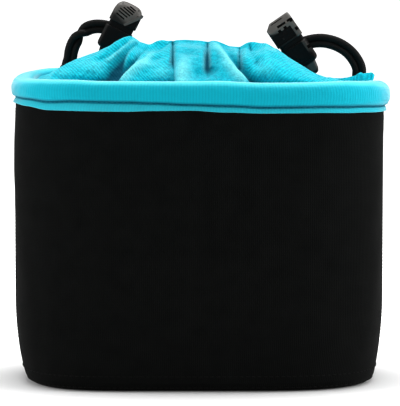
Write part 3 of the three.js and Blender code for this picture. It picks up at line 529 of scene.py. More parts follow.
def tube(path, radius, sides, relief=None, round_ends=True, closed=False):
    """A tube along a path. relief gives a share of the radius, by run and by angle."""
    path = np.asarray(path, float)
    ahead = np.gradient(path, axis=0)
    if closed:
        ahead = np.roll(path, -1, axis=0) - np.roll(path, 1, axis=0)
    ahead /= np.linalg.norm(ahead, axis=1, keepdims=True)
    side = np.cross(ahead[0], (0, 1, 0) if abs(ahead[0][1]) < 0.8 else (0, 0, 1))
    across = []
    for way in ahead:
        side = side - way * (side @ way)
        side = side / np.linalg.norm(side)
        across.append(side)
    across = np.array(across)
    up = np.cross(ahead, across)
    run = run_along(path)
    angle = np.linspace(0, 2 * math.pi, sides, endpoint=False)
    grown = np.full((len(path), sides), radius)
    if relief is not None:
        grown *= 1 + relief(run[:, None], angle)
    if round_ends and not closed:
        from_end = np.clip(np.minimum(run, run[-1] - run) / radius, 0, 1)
        grown *= np.sqrt(np.clip(1 - (1 - from_end) ** 2, 0.02, 1))[:, None]
    spoke = np.cos(angle)[:, None] * across[:, None, :] + np.sin(angle)[:, None] * up[:, None, :]
    vertices = (path[:, None, :] + grown[..., None] * spoke).reshape(-1, 3)
    uv = stacked(run[:, None], angle * radius).reshape(-1, 2)
    if closed:
        return vertices, grid_faces(len(path), sides, True, True), uv
    vertices = np.concatenate([vertices, path[:1], path[-1:]])
    return vertices, capped_faces(len(path), sides), np.concatenate([uv, uv[:1], uv[-1:]])


class Field:
    """A value that varies over a surface. Arithmetic on it adds shader nodes."""

    def __init__(self, tree, socket):
        self.tree = tree
        self.socket = socket

    def math(self, operation, *others):
        node = self.tree.nodes.new("ShaderNodeMath")
        node.operation = operation
        for place, value in enumerate((self,) + others):
            if isinstance(value, Field):
                self.tree.links.new(value.socket, node.inputs[place])
            else:
                node.inputs[place].default_value = value
        return Field(self.tree, node.outputs[0])

    def __add__(self, other):
        return self.math("ADD", other)

    def __mul__(self, other):
        return self.math("MULTIPLY", other)

    def wave(self, period, phase=0.0):
        """From 0 to 1 and back once in each period."""
        return (self * (2 * math.pi / period) + phase).math("SINE") * 0.5 + 0.5

    def clamp(self, low, high):
        """The share of the way from low to high, from 0 to 1."""
        node = self.tree.nodes.new("ShaderNodeMapRange")
        node.inputs["From Min"].default_value = low
        node.inputs["From Max"].default_value = high
        self.tree.links.new(self.socket, node.inputs["Value"])
        return Field(self.tree, node.outputs["Result"])

    def feed(self, node, socket):
        self.tree.links.new(self.socket, node.inputs[socket])


class Look:
    """A procedural material. Keywords set its shader's sockets."""

    def __init__(self, name, **sockets):
        self.material = bpy.data.materials.new(name)
        self.material.use_nodes = True
        self.tree = self.material.node_tree
        self.shader = self.tree.nodes["Principled BSDF"]
        for socket, value in sockets.items():
            self.shader.inputs[socket.replace("_", " ")].default_value = value

    def cloth(self):
        """Distances along and across the cloth, in metres."""
        uv = self.tree.nodes.new("ShaderNodeUVMap")
        uv.uv_map = "cloth"
        split = self.tree.nodes.new("ShaderNodeSeparateXYZ")
        self.tree.links.new(uv.outputs["UV"], split.inputs["Vector"])
        return Field(self.tree, split.outputs["X"]), Field(self.tree, split.outputs["Y"])

    def noise(self, size, detail=2.0, roughness=0.5):
        """Noise from 0 to 1 with features of that size, fixed to the object."""
        place = self.tree.nodes.new("ShaderNodeTexCoord")
        node = self.tree.nodes.new("ShaderNodeTexNoise")
        node.inputs["Scale"].default_value = 1 / size
        node.inputs["Detail"].default_value = detail
        node.inputs["Roughness"].default_value = roughness
        self.tree.links.new(place.outputs["Object"], node.inputs["Vector"])
        return Field(self.tree, node.outputs["Fac"])

    def mark(self, name):
        """A mark that a piece carries on its mesh, 0 on pieces without it."""
        node = self.tree.nodes.new("ShaderNodeAttribute")
        node.attribute_name = name
        return Field(self.tree, node.outputs["Fac"])

    def blend(self, share, low, high):
        """A colour between two, by a field from 0 to 1. Either may be a socket."""
        node = self.tree.nodes.new("ShaderNodeMix")
        node.data_type = "RGBA"
        for place, colour in (("A", low), ("B", high)):
            socket = [s for s in node.inputs if s.type == "RGBA" and s.name == place][0]
            if isinstance(colour, tuple):
                socket.default_value = (*colour, 1)
            else:
                self.tree.links.new(colour, socket)
        share.feed(node, "Factor")
        return [socket for socket in node.outputs if socket.type == "RGBA"][0]

    def folded(self, cloth, painted_highlight, light, dark, sheen):
        """A cloth's colour, lighter by a painted highlight where marked, and darker by painted shade,
        without sheen, in its creases.
        """
        crease_and_painted_shade = self.mark("crease_and_painted_shade")
        (crease_and_painted_shade * -sheen + sheen).feed(self.shader, "Sheen Weight")
        return self.blend(crease_and_painted_shade, self.blend(painted_highlight, cloth, light), dark)

    def bump(self, height, depth):
        node = self.tree.nodes.new("ShaderNodeBump")
        node.inputs["Distance"].default_value = depth
        height.feed(node, "Height")
        self.tree.links.new(node.outputs["Normal"], self.shader.inputs["Normal"])

    def finish(self, colour, share, smooth, rough):
        """Sets the colour and the roughness, and gives the material."""
        self.tree.links.new(colour, self.shader.inputs["Base Color"])
        (share * (rough - smooth) + smooth).feed(self.shader, "Roughness")
        return self.material


def display(*values):
    """A linear colour from display values of 0 to 255."""
    shares = [v / 255 for v in values]
    return tuple(v / 12.92 if v <= 0.04045 else ((v + 0.055) / 1.055) ** 2.4 for v in shares)


def plush():
    look = Look(
        "turquoise_plush", Specular_IOR_Level=0.08, Sheen_Roughness=0.35, Sheen_Tint=(0.38, 0.9, 0.95, 1),
    )
    up = look.cloth()[1] + look.noise(5 * MM) * (1.6 * MM)
    ribs = up.wave(PLUSH_RIB) * (look.mark("ribbed") * 0.8 + 0.2)
    fuzz = look.noise(0.9 * MM, 4, 0.7)
    tufts = look.noise(2 * MM, 3, 0.6)
    look.bump(ribs * 0.22 + fuzz * 0.55 + tufts * 0.45, 0.5 * MM)
    shade = (ribs * 0.24 + fuzz * 0.75 + tufts * 0.5).clamp(0.42, 0.98)
    pile = look.blend(shade, display(0, 134, 160), display(6, 210, 230))
    # Painted highlight on the collar's ridges in the pale colour, and painted shade in its hollows in the
    # dark one, from the collar's marks.
    highlight_share = look.mark("painted_highlight") * (fuzz * 1.3)
    colour = look.folded(pile, highlight_share, display(135, 238, 242), display(0, 72, 94), 0.75)
    return look.finish(colour, fuzz, 0.8, 1.0)


def knit():
    look = Look(
        "turquoise_knit", Specular_IOR_Level=0.1, Sheen_Roughness=0.35, Sheen_Tint=(0.7, 0.98, 1, 1),
    )
    along, up = look.cloth()
    ribs = along.wave(KNIT_RIB)
    rows = (up + ribs * (0.2 * MM)).wave(KNIT_ROW)
    fuzz = look.noise(0.4 * MM, 3, 0.6)
    look.bump(ribs * 0.4 + rows * 0.12 + fuzz * 0.2, 0.14 * MM)
    shade = (ribs * 0.3 + fuzz * 0.3 + look.noise(14 * MM) * 0.45).clamp(0.2, 0.95)
    cloth = look.blend(shade, display(0, 162, 186), display(2, 190, 212))
    # Painted highlight along the band's top in the pale colour, and painted shade by the groove in the
    # dark one, from the band's marks.
    painted_highlight = look.mark("painted_highlight")
    colour = look.folded(cloth, painted_highlight, display(90, 236, 247), display(0, 108, 132), 0.85)
    return look.finish(colour, fuzz, 0.72, 0.95)


def jersey():
    look = Look(
        "black_jersey", Specular_IOR_Level=0.03, Sheen_Weight=0.018, Sheen_Roughness=0.3,
        Sheen_Tint=(1, 0.98, 0.95, 1),
    )
    along, up = look.cloth()
    wale = along.wave(JERSEY_WALE)
    course = (up + along.wave(JERSEY_WALE, 1.2) * (0.35 * MM)).wave(JERSEY_COURSE)
    cloud = look.noise(9 * MM, 3, 0.6)
    fibre = look.noise(0.35 * MM, 3, 0.65)
    look.bump(wale * 0.4 + course * 0.3 + fibre * 0.35 + cloud * 0.25, 0.16 * MM)
    shade = (wale * 0.3 + course * 0.2 + cloud * 0.6).clamp(0.2, 0.9)
    colour = look.blend(shade, (0.0018, 0.002, 0.002), (0.0052, 0.0056, 0.0053))
    return look.finish(colour, fibre, 0.75, 0.98)


def braided_cord():
    look = Look("black_braid", Specular_IOR_Level=0.12, Sheen_Weight=0.01, Sheen_Roughness=0.4)
    along, round_cord = look.cloth()
    speck = look.noise(0.5 * MM, 3, 0.6)
    look.bump((round_cord + along * 0.7).wave(0.21 * MM) * 0.3 + speck * 0.5, 0.1 * MM)
    colour = look.blend(speck.clamp(0.4, 0.8), (0.001, 0.001, 0.001), (0.0065, 0.006, 0.0055))
    return look.finish(colour, speck, 0.5, 0.85)


def plastic():
    """Black plastic, greyed and shinier where it is marked with painted light."""
    look = Look("lock_plastic")
    grain = look.noise(0.35 * MM, 3, 0.6)
    cloud = look.noise(4 * MM)
    painted_light = look.mark("painted_light")
    look.bump(grain, 0.05 * MM)
    # Black is the plastic's own colour; the grey is painted light.
    black = look.blend(cloud, (0.0008, 0.0009, 0.001), (0.0022, 0.0023, 0.0025))
    grey = look.blend(cloud, (0.042, 0.038, 0.0338), (0.082, 0.0735, 0.0655))
    (painted_light * 0.42 + 0.08).feed(look.shader, "Specular IOR Level")
    return look.finish(look.blend(painted_light, black, grey), grain, 0.34, 0.62)


def steel():
    look = Look("spring_steel", Metallic=1.0)
    grain = look.noise(0.3 * MM, 3)
    return look.finish(look.blend(grain, (0.42, 0.42, 0.43), (0.62, 0.62, 0.6)), grain, 0.2, 0.4)


def thread(name, low, high, gloss):
    look = Look(name, Specular_IOR_Level=gloss)
    along, round_thread = look.cloth()
    ply = (round_thread + along * 0.8).wave(0.3 * MM)
    speck = look.noise(0.4 * MM)
    look.bump(ply, 0.06 * MM)
    return look.finish(look.blend(ply * 0.6 + speck * 0.4, low, high), speck, 0.5, 0.8)


MATERIALS = {
    "plush": plush(),
    "knit": knit(),
    "neoprene": jersey(),
    "cord": braided_cord(),
    "lock_plastic": plastic(),
    "spring_steel": steel(),
    # The groove's teal thread is darkened, painting the groove's shade onto it.
    "bright_thread": thread("teal_thread", display(0, 106, 128), display(0, 138, 158), 0.2),
    "dark_thread": thread("black_thread", (0.002, 0.002, 0.002), (0.007, 0.007, 0.0065), 0.06),
}


def new_mesh(name, vertices, faces, weld=False):
    """A mesh with its faces turned outward."""
    mesh = bpy.data.meshes.new(name)
    mesh.from_pydata(np.asarray(vertices).tolist(), [], faces)
    work = bmesh.new()
    work.from_mesh(mesh)
    if weld:
        bmesh.ops.remove_doubles(work, verts=work.verts, dist=1e-7)
    bmesh.ops.recalc_face_normals(work, faces=work.faces)
    work.to_mesh(mesh)
    work.free()
    return mesh


def set_mark(mesh, mark, domain, values):
    layer = mesh.attributes.new(mark, "FLOAT", domain)
    layer.data.foreach_set("value", np.asarray(values, np.float32).ravel())


def take_place(name, mesh, body, slot, *nodes):
    """The mesh as a piece of a body, in the place of those nodes."""
    mesh.materials.append(MATERIALS[slot])
    piece = add_object(name, mesh)
    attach(piece, body)
    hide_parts(*nodes)
    return piece


def add(name, shape, slot, *nodes, sharp=None, marks=None):
    """A piece of the pouch from vertices, faces and cloth coordinates, in the place of those nodes."""
    vertices, faces, uv = shape
    mesh = new_mesh(name, vertices, faces)
    for mark, values in (marks or {}).items():
        set_mark(mesh, mark, "POINT", values)
    layer = mesh.uv_layers.new(name="cloth")
    corner = np.zeros(len(mesh.loops), np.int32)
    mesh.loops.foreach_get("vertex_index", corner)
    layer.data.foreach_set("uv", np.asarray(uv, np.float32)[corner].ravel())
    mesh.shade_smooth()
    if sharp is not None:
        mesh.set_sharp_from_angle(angle=math.radians(sharp))
    return take_place(name, mesh, "pouch", slot, *nodes)


def braid(run, angle):
    """The over and under of a round braided cord."""
    turns, pitch = 4, 3.2 * MM
    first = np.sin(turns * angle + 2 * math.pi * run / pitch)
    second = np.sin(turns * angle - 2 * math.pi * run / pitch)
    return 0.1 * (np.maximum(np.abs(first), np.abs(second)) - 0.75)


def add_knot(side):
    """A trefoil loop of the cord with its two cut ends."""
    knot = KNOTS[side]
    turn = np.linspace(0, 2 * math.pi, 180, endpoint=False)
    reach = 2 + np.cos(3 * turn)
    loop = stacked(reach * np.cos(2 * turn), reach * np.sin(2 * turn), np.sin(3 * turn))
    wide, high = KNOT_RADIUS - KNOT_CORD, 3 * (KNOT_HEIGHT / 2 - KNOT_CORD)
    parts = [tube(loop * np.array([wide, wide, high]) / 3, KNOT_CORD, 16, braid, closed=True)]
    for x in (-1.2, 1.2):
        end = smooth_line([(x, 0, 0), (x, 0.2, -2), (x * 1.5, 0.3, -3.2)], 12) * MM
        parts.append(tube(end, KNOT_END_RADIUS, 16, braid))
    vertices, faces, uv = joined(parts)
    vertices = leaned(vertices, knot["lean"]) + (knot["x"] * MM, MOUTH_Y, RIM_TOP + knot["z"] * MM)
    return add(f"{side}_stopper_knot", (vertices, faces, uv), "cord", f"{side}_cord_knot")


def add_tails():
    knots = {side: add_knot(side) for side in KNOTS}
    for name, points in TAIL_POINTS.items():
        side = name.split("_")[0]
        knot = KNOTS[side]
        inside = (mix(knot["x"], points[-1][0], 0.6), MOUTH_Y / MM, knot["z"] + 0.8)
        route = np.array(points + [inside]) * MM + (0, 0, RIM_TOP)
        path = smooth_line(route, 300)
        piece = add(f"{name}_braid", tube(path, BRAID_RADIUS, 32, braid), "cord", name)


def mouth_point(degrees, side):
    """Points of the mouth's edge, with the outward way in plan."""
    turn = np.radians(degrees)
    along, across = -np.cos(turn), side * np.sin(turn)
    x = MOUTH_X + MOUTH_HALF_WIDTH * along
    y = MOUTH_Y + MOUTH_HALF_DEPTH * across
    way = stacked(MOUTH_HALF_DEPTH * along, MOUTH_HALF_WIDTH * across)
    way /= np.linalg.norm(way, axis=-1, keepdims=True)
    drop = BACK_DROP * across if side > 0 else 0
    return x, y, RIM_TOP + eased(CASING_HEIGHTS, degrees) * MM - drop, way


def add_drawcords(presses):
    """The cords inside the casings, pressed down with them."""
    for name, side in (("front", -1), ("back", 1)):
        x, y, z, _ = mouth_point(np.linspace(CASING_END, 180 - CASING_END, 60), side)
        path = presses[name](smooth_line(stacked(x, y, z - CORD_DROP), 300))
        shape = tube(path, 0.45 * CORD_DIAMETER, 24, braid, round_ends=False)
        add(f"{name}_drawcord_braid", shape, "cord", f"{name}_drawcord")


def wall_points(turns, heights, offset, shift):
    x, y = plan_point(turns[:, None], foot_inset(heights) + offset)
    points = stacked(x, y + shift, heights)
    free = smoothstep(heights, SEAM_HEIGHT, WALL_FREE_FROM) * (1 - smoothstep(heights, *WALL_HELD))
    push_out(points, turns, ripples(points, WALL_RIPPLES, 3) * free)
    return settle(points)


def add_walls():
    heights = np.concatenate([
        np.linspace(SEAM_HEIGHT, FOOT_RADIUS, 14)[:-1], np.linspace(FOOT_RADIUS, WALL_TOP, 74),
    ])
    inside = np.maximum(heights, LINING_FLOOR_TOP + FIT)
    for name, first, shift in (("front", 180, -FIT / 2), ("back", 0, FIT / 2)):
        turns, run = even_turns(first, first + 180, 221)
        uv = stacked(run[:, None], heights)
        outer, inner = (wall_points(turns, heights, offset, shift) for offset in (0, NEOPRENE))
        wall = shell(outer, inner, uv)
        add(f"{name}_wall", wall, "neoprene", f"outer_{name}", sharp=50)
        outer, inner = (wall_points(turns, inside, at, shift) for at in (LINING_OUTER, LINING_INNER))
        lining = shell(outer, inner, uv)
        add(f"{name}_plush_lining", lining, "plush", f"lining_{name}", sharp=50)


def plate(heights, offset, count=200):
    """A closed plate of the plan's outline, from heights at its edge and an inward offset."""
    turns = even_turns(0, 360, count + 1)[0][:-1]
    rings = [stacked(*plan_point(turns, foot_inset(z) + offset), z) for z in heights]
    shares = (0.97, 0.9, 0.75, 0.5, 0.25)
    bottom = [rings[0] * (share, share, 1) for share in reversed(shares)]
    top = [rings[-1] * (share, share, 1) for share in shares]
    points = settle(bottom + rings + top)
    centres = settle([[0, 0, heights[0]], [0, 0, heights[-1]]])
    vertices = np.concatenate([points.reshape(-1, 3), centres])
    return vertices, capped_faces(len(points), count), vertices[:, :2]


def add_base():
    panel = plate(np.linspace(0, 1, 9) ** 1.5 * BASE_THICKNESS, 0)
    add("base_panel", panel, "neoprene", "outer_base", sharp=60)
    floor = plate([SEAM_HEIGHT, LINING_FLOOR_TOP], LINING_OUTER)
    add("plush_floor", floor, "plush", "lining_base", sharp=60)


def band_points(section, turns, bottom, count):
    profile = smooth_line(section, count, closed=True) * MM
    return stacked(*plan_point(turns[:, None], profile[:, 0]), bottom + profile[:, 1])


def add_band():
    turns, run = (values[:-1] for values in even_turns(0, 360, 721))
    points = band_points(BAND_SECTION, turns, BAND_BOTTOM, 64)
    above = points[..., 2] - BAND_BOTTOM
    push_out(points, turns, ripples(points, BAND_RIPPLES, 11) * smoothstep(above, 0, 3 * MM))
    # Marks: painted shade along the band's lower edge by the groove, and a painted highlight along its
    # top.
    marks = {
        "crease_and_painted_shade": 1 - smoothstep(above, 0.1 * MM, 0.9 * MM),
        "painted_highlight": 0.5 * smoothstep(above, 8.6 * MM, 10.4 * MM),
    }
    band = add("knit_band", ring(settle(points), run), "knit", "rim_band", marks=marks)
    points = band_points(STRIP_SECTION, turns, STRIP_BOTTOM, 30)
    # Marks: painted shade along the strip's top edge by the groove, and painted light that lifts the
    # whole strip.
    edge = smoothstep(points[..., 2], STRIP_TOP - 0.15 * MM, STRIP_TOP + 0.2 * MM)
    marks = {"crease_and_painted_shade": edge, "painted_highlight": np.full(edge.shape, 0.17)}
    add("knit_strip", ring(settle(points), run), "knit", "rim_strip", marks=marks)
    stitches = stitch_row(GROOVE, 0.26 * MM, 2.6 * MM, 0.05 * MM, 0.7 * MM)
    add("groove_thread", stitches, "bright_thread", "rim_stitching")


def stitch_row(z, radius, pitch, gap, proud=0.4 * MM):
    """A row of stitches round the body at a height, each dipping into the cloth at its ends."""
    fine, run = even_turns(0, 360, 4001)
    count = int(run[-1] / pitch)
    spacing = run[-1] / count
    share = np.linspace(-0.5, 0.5, 9)
    lift = proud * np.cos(share * math.pi) ** 0.7 - 0.25 * MM
    parts = []
    for i in range(count):
        turns = np.interp((i + 0.5) * spacing + share * (spacing - gap), run, fine)
        line = stacked(*plan_point(turns, foot_inset(z) - lift), z)
        parts.append(tube(settle(line), radius, 8))
    return joined(parts)


def add_base_stitching():
    rows = [
        stitch_row(BASE_STITCH_HEIGHT, 0.3 * MM, 2.9 * MM, 0.5 * MM),
        stitch_row(LOW_STITCH_HEIGHT, 0.28 * MM, 2.9 * MM, 0.5 * MM),
    ]
    add("hem_stitches", joined(rows), "dark_thread", "base_stitching")


def side_face(sign, y, z, proud):
    """Points on a side's outer face, by place across and up."""
    reach = np.abs(y) / (BODY_DEPTH / 2)
    x = (BODY_WIDTH / 2) * (1 - reach**SQUARENESS) ** (1 / SQUARENESS) - foot_inset(z) + proud
    return settle(stacked(sign * x, y, z))


def add_side_seams():
    """A flat strip over each side seam, with two rows of zigzag thread."""
    bottom, top = BASE_STITCH_HEIGHT + THREAD, STRIP_BOTTOM - FIT
    half = SIDE_SEAM_WIDTH / 2
    heights = np.linspace(bottom, top, 120)
    across = np.linspace(-half, half, 13)
    crown = 0.15 * MM * (1 - (across / half) ** 4)
    pitch = 1.7 * MM
    starts = bottom + 0.6 * MM + np.arange(int((top - bottom - 1 * MM) / pitch)) * pitch
    for side, sign in (("left", -1), ("right", 1)):
        outer = side_face(sign, across, heights[:, None], SEAM_PROUD + crown)
        inner = side_face(sign, across, heights[:, None], SEAM_PROUD - 0.5 * MM)
        parts = [shell(outer, inner, stacked(heights[:, None], across))]
        for lane in (-1, 1):
            zigzag = []
            for z in starts:
                zigzag += [(lane * 0.25 * MM, z), (lane * 2.1 * MM, z + pitch / 2)]
            line = smooth_line(zigzag, len(zigzag) * 5)
            path = side_face(sign, line[:, 0], line[:, 1], SEAM_PROUD + 0.22 * MM)
            parts.append(tube(path, 0.2 * MM, 6))
        add(f"{side}_flat_seam", joined(parts), "dark_thread", f"{side}_side_seam")


def near_line(px, py, line):
    """Signed distance to a line from its top down, then its depth and width on that side."""
    line = np.array(line, float)
    best = np.full(px.shape, np.inf)
    signed = np.zeros(px.shape)
    values = np.zeros(px.shape + (3,))
    for a, b in zip(line[:-1], line[1:]):
        way = b[:2] - a[:2]
        share = np.clip(((px - a[0]) * way[0] + (py - a[1]) * way[1]) / (way @ way), 0, 1)
        dx, dy = px - a[0] - share * way[0], py - a[1] - share * way[1]
        distance = np.hypot(dx, dy)
        near = distance < best
        best = np.where(near, distance, best)
        signed = np.where(near, np.sign(way[0] * dy - way[1] * dx) * distance, signed)
        values[near] = mix(a[2:], b[2:], share[..., None])[near]
    return signed, values[..., 0], np.where(signed > 0, values[..., 1], values[..., 2])


def fold_relief(px, py):
    """How far the front's cloth stands out, in metres, how hollow it lies, which sets its painted shade,
    and where its painted highlight lies.
    """
    hollow, painted_highlight = np.zeros(px.shape), np.zeros(px.shape)
    for line in VALLEYS:
        signed, depth, width = near_line(px, py, line)
        hollow += depth * bell(signed, width * VALLEY_WIDTH, 1.35)
    total = -VALLEY_DEPTH * hollow / (1 + (hollow / SLOT_DEPTH) ** 3) ** (1 / 3)
    for line in RIDGES:
        signed, depth, width = near_line(px, py, line)
        height = depth * bell(signed, width)
        total += height
        painted_highlight = np.maximum(painted_highlight, height / 1.8)
    # Swells add painted highlight and dips add painted shade, besides their relief.
    for x, y, height, wide, high in SWELLS:
        swell = height * bell(px - x, wide) * bell(py - y, high)
        total += swell
        painted_highlight += 0.2 * np.maximum(swell, 0)
        hollow += 1.6 * np.maximum(-swell, 0)
    painted_highlight = np.clip(painted_highlight, 0, 1) * (1 - smoothstep(hollow, 1, 4))
    return total * MM, smoothstep(hollow, 1.2, DEEP_HOLLOW), painted_highlight


def rib_phase(points, px):
    """Where the plush ribs lie, as a distance, and how clear they are: clearest at each side."""
    x, y, z = points[..., 0], points[..., 1], points[..., 2]
    left = 0.85 * x + 0.45 * z + 0.3 * y + RIB_SHIFT_LEFT
    right = -0.8 * x + 0.5 * z + 0.3 * y + RIB_SHIFT_RIGHT
    at_left, at_right = 1 - smoothstep(px, *CLEAR_LEFT), smoothstep(px, *CLEAR_RIGHT)
    clear = at_left + at_right
    return left * at_left + right * at_right + (z + 0.8 * y) * (1 - clear), clear


def front_folds(outer, share):
    """The front's relief, its marks (painted shade in its hollows, painted highlight on its ridges, and
    how clear its ribs are), and where its ribs lie.
    """
    px, py = to_picture(outer)
    over = smoothstep(share, 0.04, 0.16) * (1 - smoothstep(share, 0.76, 0.92))
    relief, hollow, painted_highlight = fold_relief(px, py)
    up, ribbed = rib_phase(outer, px)
    relief = (relief + ripples(outer, FRONT_RIPPLES, 21)) * over
    return relief, {"crease_and_painted_shade": hollow * over, "painted_highlight": painted_highlight * over, "ribbed": ribbed}, up


def back_folds(outer, share, degrees):
    """The back's relief, its marks (painted shade in its creases, painted highlight between them, and its
    ribs), and where its ribs lie.
    """
    crease_and_painted_shade = sum(deep * bell(degrees - angle, wide, 1.3) for angle, wide, deep in BACK_CREASES)[:, None]
    over = smoothstep(share, 0.08, 0.3) * (1 - smoothstep(share, 0.78, 0.95))
    lumps = ripples(outer, BACK_RIPPLES, 31)
    marks = {
        "crease_and_painted_shade": smoothstep(crease_and_painted_shade, 1, 6) * over,
        "painted_highlight": smoothstep(-crease_and_painted_shade, -0.6, 0) * 0.5 * over,
        "ribbed": np.ones(outer.shape[:2]),
    }
    return (lumps - crease_and_painted_shade * MM) * over, marks, outer[..., 2] - 0.8 * outer[..., 1]


def collar_grid(side, columns, rows):
    """Half a collar before its folds: degrees from the left, run, and points outside and inside."""
    turns, run = even_turns(180, 180 - side * 180, columns, COLLAR_OUTER)
    degrees = (180 - np.degrees(turns)) * side
    root = stacked(*plan_point(turns, COLLAR_OUTER))
    mouth_x, mouth_y, mouth_z, way = mouth_point(degrees, side)
    span = stacked(mouth_x, mouth_y) + way * (CASING_RADIUS + FIT) - root
    length = np.linalg.norm(span, axis=1)
    inward = span / length[:, None]
    in_casing = smoothstep(degrees, 8, 30) * (1 - smoothstep(degrees, 150, 172))
    hook = mix(BARE_EDGE_RADIUS, CASING_RADIUS + FIT, in_casing)
    across = np.sin(np.radians(degrees))
    base_z = mouth_z - SIDE_DROP * (1 - smoothstep(across, 0.1, 0.3))
    root_z = RIM_TOP + eased(ROOT_HEIGHTS, degrees) * MM
    swell_z = RIM_TOP + eased(SWELL_HEIGHTS, degrees) * MM - (BACK_DROP * across if side > 0 else 0)
    end_z = base_z + COLLAR_CLOTH / 2
    s = np.array([0, 0.1, 0.22, 0.36, 0.5, 0.64, 0.78, 0.9])
    turn = np.radians([135, 100, 65, 30, -5, -45])
    sections = []
    for i in range(columns):
        rise = (1 - s) ** 2 * root_z[i] + 2 * s * (1 - s) * swell_z[i] + s**2 * end_z[i]
        centre = length[i] + CASING_RADIUS + FIT
        line = [(0, root_z[i] - SKIRT_DEPTH), (0, root_z[i] - SKIRT_DEPTH / 2), *zip(s * length[i], rise)]
        line += zip(centre + hook[i] * np.cos(turn), base_z[i] + hook[i] * np.sin(turn))
        sections.append(smooth_line(line, rows))
    sections = np.array(sections)
    slope = np.gradient(sections, axis=1)
    slope /= np.linalg.norm(slope, axis=2, keepdims=True) + 1e-12
    below = stacked(slope[..., 1], -slope[..., 0])
    under = sections + below * (COLLAR_CLOTH * mix(0.5, 1, in_casing))[:, None, None]
    outer, inner = (
        settle(np.concatenate([root[:, None] + inward[:, None] * cut[..., :1], cut[..., 1:]], -1))
        for cut in (sections, under)
    )
    return degrees, run, outer, inner


def edge_heights(points):
    """The highest picture row of a half of the collar in each picture column, and the wanted one."""
    px, py = to_picture(points)
    now = np.full(EDGE_COLUMNS.shape, np.nan)
    for i, column in enumerate(EDGE_COLUMNS):
        near = np.abs(px - column) < 1.2
        if near.any():
            now[i] = py[near].min()
    return now, np.interp(EDGE_COLUMNS, *np.array(COLLAR_EDGE).T)


def smoothed(values):
    return np.convolve(np.pad(values, 1, mode="edge"), np.ones(3) / 3, mode="valid")


def press_front(outer):
    """The press that fits the front half's top edge to the photograph's."""
    now, wanted = edge_heights(outer)
    good = ~np.isnan(now) & (now < COLLAR_BASE_ROW - LEAST_HEIGHT)
    stretch = np.where(good, (COLLAR_BASE_ROW - wanted) / np.where(good, COLLAR_BASE_ROW - now, 1), 1)
    stretch = smoothed(np.clip(stretch, 0.7, 1.5))

    def pressed(points):
        factor = np.interp(to_picture(points)[0], EDGE_COLUMNS, stretch)
        above = np.maximum(0, points[..., 2] - (RIM_TOP - 1 * MM))
        return points + (above * (factor - 1))[..., None] * (0, 0, 1)

    return pressed


def press_back(outer):
    """The press that keeps the back half hidden behind the front one, as far as the rim allows."""
    now, wanted = edge_heights(outer)
    now = np.where(np.isnan(now), wanted + BEHIND, now)
    drop = smoothed(np.clip(wanted + BEHIND - now, 0, 12)) * METRES_PER_PIXEL

    def pressed(points):
        high = smoothstep(points[..., 2], RIM_TOP - 4 * MM, RIM_TOP + 3 * MM)
        lower = np.interp(to_picture(points)[0], EDGE_COLUMNS, drop) * high
        return points - lower[..., None] * (0, 0, 1)

    return pressed


def tucked(points, move):
    """The loose cloth at the right end, pushed up over the rim in front of the cord's foot."""
    near = bell(points[..., 1] - TUCK_Y, TUCK_WIDTH)
    aside = TUCK_REACH * np.maximum(0, points[..., 0] - TUCK_START) * near
    px, py = to_picture(stacked(points[..., 0] + aside, TUCK_Y, RIM_TOP))
    lift = RIM_TOP + (py - eased(TUCK_CRESTS, px)) * METRES_PER_PIXEL - points[..., 2]
    lift = np.maximum(0, lift) * near * smoothstep(px, TUCK_CRESTS[0][0], TUCK_CRESTS[1][0])
    return move + stacked(aside, 0, lift)


def add_collar():
    """Both halves of the collar. Returns, for each, how its cloth and cord are pressed down."""
    columns, rows = 520, 130
    share = np.linspace(0, 1, rows)[None, :]

    _, run, outer, inner = collar_grid(-1, columns, rows)
    relief, marks, up = front_folds(outer, share)
    outer, inner = (points + relief[..., None] * (0, -1, 0.25) for points in (outer, inner))
    front = press_front(outer)
    outer, inner = front(outer), front(inner)
    add_collar_half("front", -1, (tucked(outer, outer), tucked(outer, inner)), run, up, marks)

    degrees, run, outer, inner = collar_grid(1, columns, rows)
    relief, marks, up = back_folds(outer, share, degrees)
    outer, inner = (front(points + relief[..., None] * (0, 0.8, 0.35)) for points in (outer, inner))
    behind = press_back(outer)
    add_collar_half("back", 1, (behind(outer), behind(inner)), run, up, marks)
    return {"front": front, "back": lambda points: behind(front(points))}


def add_collar_half(name, side, faces, run, up, marks):
    outer, inner = (points + (0, side * FIT / 2, 0) for points in faces)
    marks = {mark: np.tile(values.ravel(), 2) for mark, values in marks.items()}
    shape = shell(outer, inner, stacked(run[:, None], up))
    nodes = (f"collar_{name}", f"{name}_casing")
    piece = add(f"gathered_collar_{name}", shape, "plush", *nodes, marks=marks)


def rounded(half_x, half_y, corner, across=22, through=16, bend=7):
    """A rounded rectangle, walked round from the middle of its +X side."""
    corner = min(corner, half_x * 0.98, half_y * 0.98)
    straight_x, straight_y = half_x - corner, half_y - corner
    points = [(half_x, y) for y in np.linspace(0, straight_y, through // 2 + 1)]
    turn = np.linspace(0, math.pi / 2, bend + 2)[1:]
    points += [(straight_x + corner * math.cos(t), straight_y + corner * math.sin(t)) for t in turn]
    points += [(x, half_y) for x in np.linspace(straight_x, 0, across // 2 + 1)[1:]]
    quarter = np.array(points)
    top = np.concatenate([quarter, (quarter * (-1, 1))[::-1][1:]])
    return np.concatenate([top, (top * (1, -1))[::-1][1:-1]])


def layer(z, half_x, half_y, corner):
    return np.insert(rounded(half_x, half_y, corner), 2, z, axis=1)


def between(knots, count):
    """Layers along a list of (z, half width, half thickness, corner), evenly spaced."""
    knots = np.array(knots, float)
    run = run_along(knots[:, :3])
    even = np.unique(np.concatenate([np.linspace(0, run[-1], count), run]))
    return [layer(*[np.interp(r, run, knots[:, k]) for k in range(4)]) for r in even]


def box(half_x, half_y, low, high, corner=0.5):
    return [layer(z, half_x, half_y, corner) for z in (low, high)]


